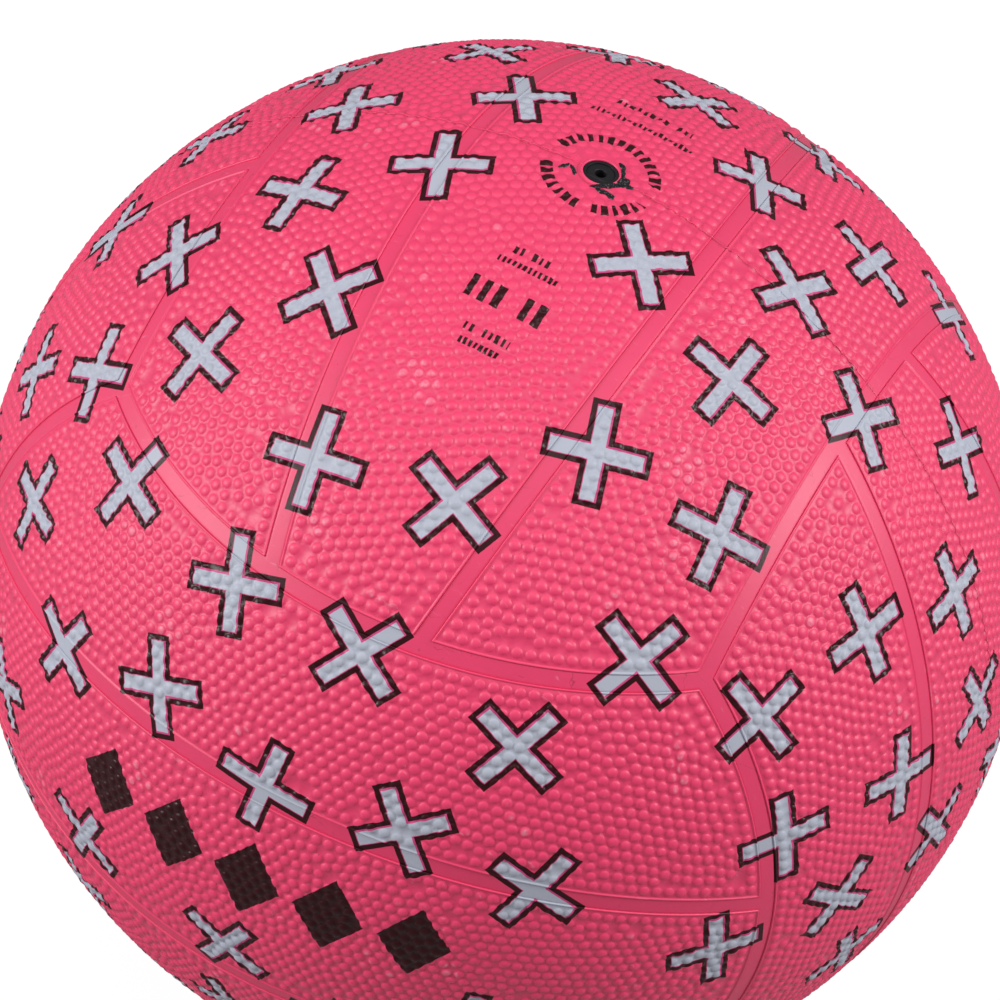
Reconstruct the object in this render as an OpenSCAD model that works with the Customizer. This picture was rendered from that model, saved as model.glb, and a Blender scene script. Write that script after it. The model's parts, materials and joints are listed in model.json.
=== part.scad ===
// Netball with an eighteen-panel moulded rubber cover.
// The origin is the ball's centre and +Z leaves through the valve.
// Each of the six faces has three strips, and each face's strips run across
// the ends of the next face's. The faces meet on circles that lie on cones
// with their points at the centre, so every seam wall is square to the surface.

/* [Ball] */
// Girth of the ball over its pebbles, as the rules of the game measure it
girth = 700; // [640:5:720]

/* [Cover panels] */
// Thickness of a panel, from its underside to the tops of its pebbles
panel_thickness = 1.1; // [1:0.05:1.8]
// Height of the pebbles above the ground between them
pebble_height = 0.45; // [0.3:0.05:0.6]
// Width of the smooth band between two panels
seam_width = 3.4; // [2:0.1:5]
// Half the angle that a face's middle strip spans at the ball's centre
middle_half_angle = 13.9; // [11:0.1:17]
// Width of the raised lip round a panel's edge
lip_width = 0.5; // [0.2:0.05:0.8]
// Height of the lip above the ground
lip_height = 0.25; // [0.1:0.05:0.3]
// Width of the bare gutter between the lip and the pebbles
gutter_width = 0.5; // [0.3:0.05:1.2]
// Diameter of the bare land round the valve
land_diameter = 12; // [11:0.5:24]

/* [Seam net] */
// Thickness of the net where it runs under the panels
net_thickness = 0.6; // [0.4:0.05:1.2]
// Depth of the seam bands below the panels' ground
seam_sink = 0.05; // [0.05:0.05:0.2]

/* [Inner layers] */
// Thickness of the nylon winding
winding_thickness = 0.5; // [0.3:0.05:1]
// Thickness of the bladder
bladder_thickness = 0.6; // [0.4:0.05:1.2]

/* [Valve housing] */
// Diameter of the neck that shows in the cover
neck_diameter = 7.1; // [7:0.1:9]
// Depth of the neck's rim below the ground round it
neck_recess = 0.1; // [0.05:0.05:0.4]
// Diameter of the flange bonded inside the bladder
flange_diameter = 26; // [18:1:34]
// Thickness of that flange
flange_thickness = 0.9; // [0.5:0.1:1.5]
// Diameter of the stem inside the bladder
stem_diameter = 9; // [8:0.5:12]
// Width and height of the taper where the stem meets the flange
stem_root = 2; // [1:0.25:3]
// Length of stem beyond the plug's inner end
stem_overhang = 0.8; // [0.4:0.1:2]

/* [Valve plug] */
// Diameter of the plug's head
head_diameter = 5.6; // [5:0.1:5.8]
// Thickness of the head
head_thickness = 1.6; // [1:0.1:2.5]
// Depth of the head's face below the neck's rim
head_recess = 0.2; // [0.1:0.05:0.6]
// Diameter of the plug's body
plug_diameter = 4.2; // [3.6:0.1:4.6]
// Length of the plug with its head
plug_length = 12; // [10:0.5:16]
// Length of the tapered lead at the plug's inner end
plug_lead = 0.7; // [0.3:0.1:1.5]
// Diameter of the needle passage
needle_diameter = 2.3; // [2:0.1:2.6]
// Thickness of the membrane that closes the passage
membrane_thickness = 2; // [1:0.1:3]
// Width of the countersink round the passage's mouth
mouth_chamfer = 0.45; // [0.2:0.05:0.8]
// Length of the slit through the membrane
slit_length = 1.8; // [1:0.1:2]
// Width of the slit
slit_width = 0.12; // [0.05:0.01:0.3]

/* [Fits] */
// Film of rubber cement between two bonded pieces
glue_line = 0.05; // [0.02:0.01:0.1]
// Clearance on each side of the plug in its housing
plug_clearance = 0.04; // [0.02:0.01:0.08]

/* [Hidden] */
$fn = 180;
// How far a cut runs past what it cuts
overrun = 2;

// Radii of the layers, from the outside in
top_r = girth / (2 * PI);
ground_r = top_r - pebble_height;
lip_r = ground_r + lip_height;
band_r = ground_r - seam_sink;
panel_in_r = top_r - panel_thickness;
net_out_r = panel_in_r - glue_line;
net_in_r = net_out_r - net_thickness;
winding_out_r = net_in_r - glue_line;
winding_in_r = winding_out_r - winding_thickness;
bladder_out_r = winding_in_r - glue_line;
bladder_in_r = bladder_out_r - bladder_thickness;
flange_out_r = bladder_in_r - glue_line;
flange_in_r = flange_out_r - flange_thickness;
reach = top_r + overrun;

// Half the angle that a whole face spans between its ends
face_half_angle = acos(1 / sqrt(3));

// Places along the valve's axis, measured from the ball's centre
rim_z = ground_r - neck_recess;
face_z = rim_z - head_recess;
shoulder_z = face_z - head_thickness;
plug_end_z = face_z - plug_length;
stem_end_z = plug_end_z - stem_overhang;
passage_end_z = plug_end_z + membrane_thickness;

cover_colour = "#f0527e";
net_colour = "#d94470";
winding_colour = "#e9e4d6";
bladder_colour = "#26262a";
valve_colour = "#1c1c1e";

// Each face is the top face turned into place: its name, the turn that swings
// a back or right face round to the opposite one, and the turn about [1, 1, 1]
FACES = [
    ["top", [0, 0, 0], 0],
    ["bottom", [180, 0, 0], 0],
    ["back", [0, 0, 0], -120],
    ["front", [0, 0, 180], -120],
    ["right", [0, 0, 0], 120],
    ["left", [0, 180, 0], 120]
];
SIDES = [-1, 0, 1];

// The words for a face's three strips, from the negative side to the positive
function strip_words(turn) =
    turn == 0 ? ["left", "middle", "right"]
    : turn < 0 ? ["lower", "middle", "upper"]
    : ["front", "middle", "back"];

function panel_name(face, side) =
    str(face[0], "_panel_", strip_words(face[2])[side + 1]);

// The angle at the ball's centre of a length along its surface
function surface_angle(length) = length / top_r * 180 / PI;

// A hollow ball between two radii
module shell(inner_r, outer_r) {
    difference() {
        sphere(r = outer_r);
        sphere(r = inner_r);
    }
}

// A cone from the ball's centre about +Z, out past the surface
module centre_cone(half_angle) {
    cylinder(h = reach, r1 = 0, r2 = reach * tan(half_angle));
}

// A prism along Y from an outline in X and Z
module prism_along_y(points) {
    rotate([90, 0, 0])
        linear_extrude(height = 2 * reach, center = true)
            polygon(points);
}

// The room between the two seams beside a middle strip
module middle_room(inset) {
    a = middle_half_angle;
    far_x = reach * tan(a) - inset * cos(a);
    far_z = reach + inset * sin(a);
    prism_along_y([[0, inset / sin(a)], [far_x, far_z], [-far_x, far_z]]);
}

// The room outside the seam on the +X side of a middle strip
module side_room(inset) {
    a = middle_half_angle;
    near = [inset * cos(a), -inset * sin(a)];
    far = near + [reach * tan(a), reach];
    prism_along_y([near, far, far + [reach, 0], near + [reach, 0]]);
}

// The room of one strip of the top face, drawn in from its seams' middles
module strip_room(side, inset) {
    if (side == 0)
        intersection() {
            centre_cone(face_half_angle - surface_angle(inset));
            middle_room(inset);
        }
    else
        mirror([side < 0 ? 1 : 0, 0, 0])
            difference() {
                intersection() {
                    centre_cone(face_half_angle - surface_angle(inset));
                    side_room(inset);
                }
                rotate([0, 90, 0])
                    centre_cone(face_half_angle + surface_angle(inset));
            }
}

// Turn a strip of the top face to its own face
module on_face(face) {
    rotate(face[1]) rotate(a = face[2], v = [1, 1, 1]) children();
}

// A hole for the valve's neck, through every layer outside the bladder's air
module neck_hole() {
    translate([0, 0, flange_in_r])
        cylinder(h = reach - flange_in_r, d = neck_diameter + 2 * glue_line);
}

// One strip of the top face: a field as high as its pebbles, a bare gutter
// round the field, and a raised lip round the gutter
module strip_panel(side) {
    edge = seam_width / 2;
    difference() {
        intersection() {
            shell(panel_in_r, top_r);
            strip_room(side, edge);
        }
        difference() {
            intersection() {
                shell(lip_r, reach);
                strip_room(side, edge / 2);
            }
            strip_room(side, edge + lip_width + gutter_width);
        }
        difference() {
            intersection() {
                shell(ground_r, reach);
                strip_room(side, edge + lip_width);
            }
            strip_room(side, edge + lip_width + gutter_width);
        }
    }
}

// The bare land round the valve, down to the lip round the neck's hole
module valve_land() {
    land_r = land_diameter / 2;
    hole_lip_r = neck_diameter / 2 + glue_line + lip_width;
    intersection() {
        shell(lip_r, reach);
        cylinder(h = reach, r = land_r);
    }
    intersection() {
        shell(ground_r, reach);
        difference() {
            cylinder(h = reach, r = land_r);
            cylinder(h = reach, r = hole_lip_r);
        }
    }
}

module cover_panel(face, side) {
    color(cover_colour)
        difference() {
            on_face(face) strip_panel(side);
            if (face[0] == "top" && side == 0) {
                neck_hole();
                valve_land();
            }
        }
}

// The rubber net: a shell under the panels, with ribs that fill their seams
module seam_net() {
    color(net_colour)
        difference() {
            shell(net_in_r, band_r);
            for (face = FACES)
                for (side = SIDES)
                    on_face(face)
                        intersection() {
                            shell(net_out_r, reach);
                            strip_room(side, seam_width / 2 - glue_line);
                        }
            neck_hole();
        }
}

module winding_layer() {
    color(winding_colour)
        difference() {
            shell(winding_in_r, winding_out_r);
            neck_hole();
        }
}

module bladder() {
    color(bladder_colour)
        difference() {
            shell(bladder_in_r, bladder_out_r);
            neck_hole();
        }
}

// Half the outline of the housing below its flange's top
module stem_outline() {
    stem_r = stem_diameter / 2;
    polygon([
        [0, stem_end_z],
        [stem_r, stem_end_z],
        [stem_r, flange_in_r - stem_root],
        [stem_r + stem_root, flange_in_r],
        [0, flange_in_r]
    ]);
}

// A flange that follows the bladder, a neck out to the cover and a stem inwards
module valve_housing() {
    color(valve_colour)
        difference() {
            union() {
                intersection() {
                    shell(flange_in_r, flange_out_r);
                    cylinder(h = reach, d = flange_diameter);
                }
                translate([0, 0, flange_in_r])
                    cylinder(h = rim_z - flange_in_r, d = neck_diameter);
                rotate_extrude() stem_outline();
            }
            translate([0, 0, stem_end_z - overrun])
                cylinder(h = reach, d = plug_diameter + 2 * plug_clearance);
            translate([0, 0, shoulder_z - plug_clearance])
                cylinder(h = reach - shoulder_z, d = head_diameter + 2 * plug_clearance);
        }
}

// Half the outline of the plug, without its needle passage
module plug_outline() {
    body_r = plug_diameter / 2;
    head_r = head_diameter / 2;
    polygon([
        [0, plug_end_z],
        [body_r - plug_lead / 2, plug_end_z],
        [body_r, plug_end_z + plug_lead],
        [body_r, shoulder_z],
        [head_r, shoulder_z],
        [head_r, face_z],
        [0, face_z]
    ]);
}

module valve_plug() {
    color(valve_colour)
        difference() {
            rotate_extrude() plug_outline();
            translate([0, 0, passage_end_z])
                cylinder(h = plug_length, d = needle_diameter);
            translate([0, 0, face_z - mouth_chamfer])
                cylinder(
                    h = 2 * mouth_chamfer,
                    r1 = needle_diameter / 2,
                    r2 = needle_diameter / 2 + 2 * mouth_chamfer
                );
            translate([-slit_length / 2, -slit_width / 2, plug_end_z - overrun])
                cube([slit_length, slit_width, membrane_thickness + 2 * overrun]);
        }
}

bladder();
winding_layer();
seam_net();
valve_housing();
valve_plug();
for (face = FACES)
    for (side = SIDES)
        cover_panel(face, side);
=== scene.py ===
"""Dress the packed netball: pebbled cover panels, seam net, printed marks, valve and stage."""

import json
import math

import bmesh
import bpy
import numpy as np
from bpy.props import FloatProperty, FloatVectorProperty, IntProperty, PointerProperty
from mathutils import Matrix, Vector
from mathutils.geometry import delaunay_2d_cdt


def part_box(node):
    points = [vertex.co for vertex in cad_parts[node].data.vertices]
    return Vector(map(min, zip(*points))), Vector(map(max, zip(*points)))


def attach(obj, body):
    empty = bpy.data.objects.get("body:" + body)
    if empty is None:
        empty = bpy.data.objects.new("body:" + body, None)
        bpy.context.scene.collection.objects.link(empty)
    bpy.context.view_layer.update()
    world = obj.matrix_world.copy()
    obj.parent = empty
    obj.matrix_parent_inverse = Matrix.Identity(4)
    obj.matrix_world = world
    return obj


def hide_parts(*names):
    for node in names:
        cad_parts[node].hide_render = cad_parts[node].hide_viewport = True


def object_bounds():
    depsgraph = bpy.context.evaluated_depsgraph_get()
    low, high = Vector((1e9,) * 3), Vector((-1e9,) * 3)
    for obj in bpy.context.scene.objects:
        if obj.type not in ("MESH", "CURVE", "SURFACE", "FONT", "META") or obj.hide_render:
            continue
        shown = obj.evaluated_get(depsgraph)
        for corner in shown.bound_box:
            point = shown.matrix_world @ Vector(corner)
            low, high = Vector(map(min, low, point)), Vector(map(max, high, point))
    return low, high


bl_info = {
    "name": "Netball dressing",
    "version": (1, 0, 0),
    "blender": (4, 5, 0),
    "location": "View3D > Sidebar > Netball",
    "description": "Builds the pebbled cover, seam net, prints, valve and stage round a packed netball",
    "category": "Object",
}

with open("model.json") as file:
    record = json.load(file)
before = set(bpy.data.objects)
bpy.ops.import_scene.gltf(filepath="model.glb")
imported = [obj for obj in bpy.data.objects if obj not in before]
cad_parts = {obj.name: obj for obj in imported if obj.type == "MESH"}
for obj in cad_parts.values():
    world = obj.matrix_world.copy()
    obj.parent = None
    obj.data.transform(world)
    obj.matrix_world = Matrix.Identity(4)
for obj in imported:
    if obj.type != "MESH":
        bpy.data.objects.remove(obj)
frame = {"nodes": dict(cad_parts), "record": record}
cad_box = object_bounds()

MM = 0.001
# Half the angle that a whole face of the cover spans between its ends
FACE_HALF_ANGLE = math.acos(1 / math.sqrt(3))
MOUNTS = {mount["name"]: mount for mount in frame["record"]["mounts"]}
BALL_RADIUS = -MOUNTS["cradle_seat"]["pos_m"][2]

# How far an outlined mark's own axes hold round its middle
MARK_REACH = 12.6 * MM
# Where the row of diamonds lies, as the angle from the valve
DIAMOND_ANGLE = math.radians(87)
# Places on the plane x = 0 that the outlined marks leave clear, as the angle
# from the valve and the half length and half height of what is printed there
PRINT_BLOCKS = (
    (0.0, 8 * MM, 8 * MM),
    (math.radians(19.9), 9 * MM, 13 * MM),
    (math.radians(-11.8), 12 * MM, 5 * MM),
    (DIAMOND_ANGLE, 46 * MM, 11 * MM),
)
# Lines of dashes across that plane, in millimetres: how far down from the
# valve, half length, half height and pitch
PRINT_LINES = (
    (27.4, 4.7, 0.85, 1.35),
    (30.4, 6.6, 0.7, 1.1),
    (38.4, 9.0, 2.5, 2.9),
    (46.6, 5.0, 0.85, 1.35),
    (49.6, 4.4, 0.7, 1.1),
    (-25.6, 8.6, 0.9, 1.5),
    (-19.6, 11.6, 0.7, 1.15),
)
# Middle radius of the ring of dashes round the valve, and half the gaps that
# part it in two, in millimetres
RING_RADIUS = 10.7
RING_GAP = 3.0
# How near the valve the painted shade lines beside the parting line come, in
# millimetres. The part ring of painted shade lies on the side away from this
# flat direction, and fades out between these cosines of the angle to it
PARTING_SHADE_START = 6.0
SHADED_ARC_SIDE = (0.68, 0.73)
SHADED_ARC_END = (-0.75, -0.45)

# Flakes of rubber that the mould left round the valve, in millimetres on the
# tangent plane there: middle, half length, half width, height and turn in degrees
SPEW_FLAKES = (
    (4.85, -0.1, 1.9, 1.5, 0.42, 75),
    (5.9, -0.5, 1.5, 0.7, 0.3, 20),
    (3.6, 2.5, 1.9, 0.5, 0.3, 112),
    (2.75, -2.85, 2.7, 0.8, 0.42, 40),
    (1.2, -4.3, 1.6, 0.4, 0.3, 30),
    (3.5, -5.0, 2.3, 0.8, 0.34, -6),
    (2.5, 4.4, 1.2, 0.6, 0.28, -35),
    (-6.6, -2.4, 1.6, 0.52, 0.26, 58),
    (-4.8, -2.7, 1.7, 0.52, 0.26, -50),
)

# Each face of the cover is the top face turned into place, by these rows
FACE_TURNS = {
    "top": ((1, 0, 0), (0, 1, 0), (0, 0, 1)),
    "bottom": ((1, 0, 0), (0, -1, 0), (0, 0, -1)),
    "back": ((0, 1, 0), (0, 0, 1), (1, 0, 0)),
    "front": ((0, -1, 0), (0, 0, -1), (1, 0, 0)),
    "right": ((0, 0, 1), (1, 0, 0), (0, 1, 0)),
    "left": ((0, 0, -1), (1, 0, 0), (0, -1, 0)),
}
# The words for a face's three strips, from its negative side to its positive
STRIP_WORDS = {
    "top": ("left", "middle", "right"),
    "bottom": ("left", "middle", "right"),
    "back": ("lower", "middle", "upper"),
    "front": ("lower", "middle", "upper"),
    "right": ("front", "middle", "back"),
    "left": ("front", "middle", "back"),
}
SIDES = (-1, 0, 1)
X_AXIS, Y_AXIS, Z_AXIS = np.eye(3)

# The lip's section, as shares of its width and height from the panel's edge inwards
LIP_SHARES = ((0.0, 0.45), (0.2, 0.9), (0.45, 1.0), (0.72, 0.72), (1.0, 0.0))
# The rings of a pebble's dome, as shares of its radius, and how full its shape is
DOME_SHARES = (0.9, 0.68, 0.38)
DOME_POWER = 0.85
# Sine of the least bend that counts as a corner of a panel
CORNER_BEND = 0.3
# Corners round a pebble, and round the turned valve pieces and the hole they fill
DOME_CORNERS = 12
VALVE_CORNERS = 96

# Lengths of a strip's long edge, a middle strip's end and a side strip's end,
# in ball radii
LONG_EDGE, MIDDLE_END, SIDE_END = 1.9, 0.29, 0.5
# Laying out pebbles, in shares of their pitch: random shift, least distance of
# the loose ones from the first row, and how near neighbours are pushed apart
PEBBLE_SHIFT, LOOSE_INSET, PUSH_REACH = 0.24, 0.72, 1.3
# Share of an overlap that one push takes away, for pebbles and for marks
PEBBLE_PUSH, MARK_PUSH = 0.28, 0.3
# Spread of the pebbles' radii and heights, their usual height and least
# radius, as shares of the full height and diameter
RADIUS_SPREAD, HEIGHT_SPREAD, USUAL_HEIGHT, LEAST_RADIUS = 0.035, 0.06, 0.86, 0.3
# Pebbles near the valve are lower: their share of height, and over which distances it ends
VALVE_LOW, VALVE_LOW_FROM, VALVE_LOW_TO = 0.55, 5.5 * MM, 11 * MM
# Turn from one pebble to the next, their lean, and their outlines' waves and depths
PEBBLE_SPIN, PEBBLE_LEAN = 0.7, 0.05
PEBBLE_DENTS = ((2, 0.045), (3, 0.035))
# Most height above the ground of flash and flakes by the valve, in millimetres
VALVE_RISE = 0.27
# Spare distance and random shift of the marks, and the rounds that spread them
MARK_SPARE, MARK_SHIFT, MARK_ROUNDS = 3 * MM, 0.1, 120

# How a panel's wall is laid out flat, out from its edge, at its foot and
# halfway up, and how far the row halfway lies below the bands
WALL_FOOT, WALL_MIDDLE, WALL_DROP = 0.6 * MM, 0.3 * MM, 0.15 * MM
# A rib's gap to the panels, the rows of its top as shares of its half width,
# the width and drop of its rounded edge, and how far its foot is laid out
RIB_GAP, RIB_ROWS = 0.01 * MM, (0.0, 0.35, 0.7)
RIB_ROUND, RIB_DROP, RIB_FOOT = 0.12 * MM, 0.05 * MM, 0.4 * MM
# How near points of the net are welded
WELD_REACH = 0.002 * MM
# The flash: its gap to the valve's hole, how far from the valve it is kept
# low, how far it stays below the pebble tops, how deep its feet sink, and
# the longest gap that it bridges
FLASH_GAP, FLASH_LOW = 0.25 * MM, 8 * MM
FLASH_BELOW, FLASH_SINK, FLASH_BRIDGE = 0.01 * MM, 0.05 * MM, 0.3 * MM
# A flake's corners, its rings as shares of its size, the waves of its outline
# and their depths, how deep it sinks in millimetres, and how uneven its top is
FLAKE_CORNERS, FLAKE_RINGS = 28, (1.0, 0.85, 0.55, 0.25)
FLAKE_WAVES, FLAKE_DEPTHS = (2, 3, 5, 8), (0.03, 0.13)
FLAKE_SINK, FLAKE_BUMPS = 0.05, 0.25

# Where a panel's top and underside lie in its flat picture, and between them
# the parting line's three sides, by the first one's edge, the step to the next
# and their width, and its ends, by their corners
TOP_PATCH = ((0.01, 0.01), (0.74, 0.99))
UNDER_PATCH = ((0.78, 0.01), (0.99, 0.99))
FLASH_EDGE, FLASH_NEXT, FLASH_WIDE = 0.747, 0.009, 0.007
FLASH_ENDS = ((0.7745, 0.010), (0.7765, 0.010), (0.7755, 0.013))
# The net's flat picture, first for the ribs and then for the underside:
# columns of patches, lower edge and height of a patch. Each keeps a margin
NET_PATCHES = ((6, 0.0, 1 / 4), (9, 0.75, 1 / 8))
PATCH_MARGIN = 0.02

# Colours of wear, dirt, cement and thread, of painted shade and of painted glints, in linear light
RUBBED_PINK = (0.95, 0.5, 0.6, 1)
CRACK_AND_SHADE_RED = (0.24, 0.008, 0.03, 1)
FRINGE_PINK = (0.52, 0.07, 0.24, 1)
PALE_DUST = (0.9, 0.75, 0.75, 1)
GREY_DUST = (0.35, 0.33, 0.33, 1)
GREY_SCUFF = (0.16, 0.14, 0.14, 1)
GLINT_FLECK_GREY = (0.3, 0.27, 0.28, 1)
BLADDER_BLACK = (0.02, 0.02, 0.023)
DARK_THREAD = (0.42, 0.38, 0.28, 1)
PALE_THREAD = (0.82, 0.80, 0.72, 1)

# Spacing of the corners along a panel's edge, a rib's edge and the parting line
PANEL_STEP = 0.55 * MM
RIB_STEP = 1.0 * MM
FLASH_STEP = 0.16 * MM
# The coarse points that fill the hidden shells, by their spacing and how far
# they keep from the seams' middles and from the valve
PANEL_FLOOR = {"step": 8 * MM, "margin": 4.7 * MM, "clear": 7 * MM}
NET_FLOOR = {"step": 7 * MM, "margin": 4 * MM, "clear": 8 * MM}
# How far a piece may depart from the box of its CAD node
BOX_SLACK = 0.6 * MM
# Half the width of a printed edge's soft line, in millimetres
EDGE_SOFTNESS = 0.05
# Strength of the bare rubber's wide sheen
COAT_WEIGHT = 0.9

# Directions to the camera's right, its top and its back, and the picture's shift
CAMERA_AXES = (
    (0.87306291, 0.45665645, 0.17089826),
    (-0.43813716, 0.58086372, 0.68601265),
    (0.21400314, -0.67382889, 0.70721038),
)
CAMERA_SHIFT = (-0.0029, 0.0661)
SENSOR_WIDTH = 36
# The lamps: name, direction to the camera's right, top and back, width, and
# the setting that has their power
LAMPS = (
    ("key_left", (-0.85, 0.24, 0.48), 0.6, "key_power"),
    ("key_right", (0.85, 0.24, 0.48), 0.6, "key_power"),
    ("front", (0.0, 0.5, 0.82), 0.9, "front_power"),
)
LAMP_DISTANCE = 1.3
FLOOR_HALF = 6.0
# How bright the floor glows to the camera, and the share of that glow in its look
FLOOR_GLOW, GLOW_SHARE = 1.1, 0.85
WHITE = (1, 1, 1, 1)
FLOOR_WHITE = (0.88, 0.88, 0.88, 1)
FLOOR_GREY = (0.3, 0.3, 0.3, 1)


def in_mm(name, description, millimetres):
    """A length setting, given in millimetres."""
    return FloatProperty(
        name=name, description=description, default=millimetres * MM, unit="LENGTH", precision=5
    )


def colour_of(name, description, default):
    """A colour setting, in linear light."""
    return FloatVectorProperty(name=name, description=description, default=default, subtype="COLOR")


class NetballCoverSizes(bpy.types.PropertyGroup):
    """Sizes of the cover's panels, pebbles and seams."""

    middle_half_angle: FloatProperty(
        name="Middle strip half angle",
        description="Half the angle that a face's middle strip spans at the ball's centre",
        default=math.radians(13.9),
        subtype="ANGLE",
    )
    seam_width: in_mm("Seam width", "Width of the smooth band between two panels", 3.4)
    seam_sink: in_mm("Seam sink", "Depth of the bands below the panels' ground", 0.05)
    panel_thickness: in_mm(
        "Panel thickness", "Thickness of a panel from its underside to its pebble tops", 1.1
    )
    lip_width: in_mm("Lip width", "Width of the raised lip round a panel", 0.5)
    lip_height: in_mm("Lip height", "Height of the lip above the ground", 0.25)
    pebble_pitch: in_mm(
        "Pebble pitch", "Distance between the centres of neighbouring pebbles", 2.62
    )
    pebble_diameter: in_mm("Pebble diameter", "Width of a pebble at its foot", 2.36)
    pebble_height: in_mm("Pebble height", "Height of the tallest pebbles above the ground", 0.45)
    pebble_gap: in_mm("Pebble gap", "Least width of ground between two pebbles", 0.07)
    first_row: in_mm(
        "First row", "Distance from a panel's edge to the centres of its first row of pebbles", 2.0
    )
    flash_width: in_mm("Flash width", "Width of the mould's parting line", 0.4)
    flash_height: in_mm(
        "Flash height", "Height of the parting line above the surface that it crosses", 0.16
    )
    neck_hole: in_mm("Neck hole", "Diameter of the hole for the valve's neck", 7.2)
    bare_radius: in_mm("Bare radius", "Radius of the pebble-free ground round the valve", 4.4)
    net_thickness: in_mm(
        "Net thickness", "Thickness of the seam net where it runs under the panels", 0.6
    )
    glue_line: in_mm("Glue line", "Film of cement between two bonded pieces", 0.05)
    seed: IntProperty(name="Seed", description="Seed of the pebble layout", default=7)


class NetballValveSizes(bpy.types.PropertyGroup):
    """Sizes of the valve's housing and plug."""

    neck_diameter: in_mm(
        "Neck diameter", "Width of the housing's neck where it fills the hole in the cover", 7.1
    )
    neck_length: in_mm(
        "Neck length", "From the neck's rim down to the outside of the flange at the axis", 2.45
    )
    flange_diameter: in_mm("Flange diameter", "Width of the flange inside the bladder", 26)
    flange_thickness: in_mm("Flange thickness", "Thickness of the flange", 0.9)
    stem_diameter: in_mm("Stem diameter", "Width of the stem that grips the plug", 9)
    stem_root: in_mm("Stem root", "Reach of the taper between stem and flange", 2)
    head_diameter: in_mm("Head diameter", "Width of the plug's head", 5.6)
    head_thickness: in_mm("Head thickness", "Thickness of the plug's head", 1.6)
    plug_diameter: in_mm("Plug diameter", "Width of the plug's body", 4.2)
    plug_lead: in_mm("Plug lead", "Length of the taper at the plug's inner end", 0.7)
    needle_diameter: in_mm("Needle diameter", "Width of the needle passage", 2.3)
    mouth_chamfer: in_mm(
        "Mouth chamfer", "Width of the countersink round the passage's mouth", 0.15
    )
    membrane_thickness: in_mm(
        "Membrane thickness", "Thickness of the membrane that closes the passage", 2
    )
    slit_length: in_mm("Slit length", "Length of the slit through the membrane", 1.8)
    slit_width: in_mm("Slit width", "Width of the slit", 0.12)
    clearance: in_mm("Clearance", "Gap on each side of the plug in its housing", 0.04)
    edge_round: in_mm("Edge round", "How far a moulded edge is rounded back from its corner", 0.1)
    seed: IntProperty(name="Seed", description="Seed of the moulding spew's outlines", default=5)


class NetballPrintSizes(bpy.types.PropertyGroup):
    """Sizes of the printed marks."""

    count: IntProperty(
        name="Marks", description="Number of outlined marks on the whole ball", default=150
    )
    length: in_mm("Mark length", "Length of an outlined mark over its outline", 21)
    arm: in_mm("Mark arm", "Width of a mark's arm over its outline", 5.6)
    line: in_mm("Outline", "Width of the dark outline", 1.08)
    gap: in_mm("Gap", "Width of bare rubber between outline and fill", 0.28)
    misfit: in_mm("Misfit", "How far the fill is printed off the outline's centre", 0.12)
    seed: IntProperty(name="Seed", description="Seed of the marks' places and turns", default=11)


class NetballFinish(bpy.types.PropertyGroup):
    """Colours of the ball, in linear light."""

    rubber: colour_of("Rubber", "Colour of the cover and the seam net", (0.86, 0.039, 0.145))
    line_ink: colour_of("Line ink", "Colour of the outlines and solid marks", (0.030, 0.001, 0.003))
    fill_ink: colour_of("Fill ink", "Colour of the marks' fill", (0.45, 0.472, 0.555))
    valve: colour_of("Valve", "Colour of the valve's rubber", (0.009, 0.008, 0.010))


class NetballStageSizes(bpy.types.PropertyGroup):
    """The camera and lamps."""

    distance: FloatProperty(
        name="Camera distance",
        description="Distance from the ball's centre to the camera",
        default=7.560 * BALL_RADIUS,
        unit="LENGTH",
    )
    lens: FloatProperty(
        name="Lens",
        description="Focal length for a 36 mm wide picture",
        default=142.3,
        unit="CAMERA",
    )
    key_power: FloatProperty(
        name="Key lamps",
        description="Power of each of the two soft lamps beside the camera",
        default=11.2,
        unit="POWER",
    )
    front_power: FloatProperty(
        name="Front lamp",
        description="Power of the wide soft lamp above the camera",
        default=3.9,
        unit="POWER",
    )
    ambient: FloatProperty(
        name="Ambient", description="Strength of the even light from all round", default=0.3
    )


def unit(vector):
    vector = np.asarray(vector, float)
    return vector / np.linalg.norm(vector, axis=-1, keepdims=True)


def strip_directions(sizes, side, across, along, inset):
    """Directions on a strip of the top face, by shares across and along, in from its seams."""
    across, along = np.broadcast_arrays(np.asarray(across, float), np.asarray(along, float))
    drawn = inset / BALL_RADIUS
    if side == 0:
        tilt = sizes.middle_half_angle * across
        offset = -drawn * across
    else:
        tilt = sizes.middle_half_angle * (1 - across)
        offset = (1 - across) * drawn + across * math.cos(FACE_HALF_ANGLE + drawn)
    rise = (math.cos(FACE_HALF_ANGLE - drawn) + offset * np.sin(tilt)) / np.cos(tilt)
    reach = np.sqrt(1 - offset**2)
    swing = np.arccos(np.clip(rise / reach, -1, 1)) * along
    y = np.sin(swing) * reach
    q = np.cos(swing) * reach
    x = offset * np.cos(tilt) + q * np.sin(tilt)
    z = -offset * np.sin(tilt) + q * np.cos(tilt)
    return np.stack([x if side >= 0 else -x, y, z], -1)


def valve_distance(directions):
    """Distance along the surface from the valve's axis."""
    return BALL_RADIUS * np.arccos(np.clip(directions[..., 2], -1, 1))


def edge_distance(sizes, side, directions):
    """Least distance along the surface from the middles of a strip's seams."""
    x, z = directions[..., 0], directions[..., 2]
    if side < 0:
        x = -x
    half = sizes.middle_half_angle
    near = np.arcsin(np.clip(x * math.cos(half) - z * math.sin(half), -1, 1))
    if side == 0:
        near = -near
        far = np.arcsin(np.clip(x * math.cos(half) + z * math.sin(half), -1, 1))
    else:
        far = np.arccos(np.clip(x, -1, 1)) - FACE_HALF_ANGLE
    end = FACE_HALF_ANGLE - np.arccos(np.clip(z, -1, 1))
    return BALL_RADIUS * np.minimum(np.minimum(near, far), end)


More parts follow.
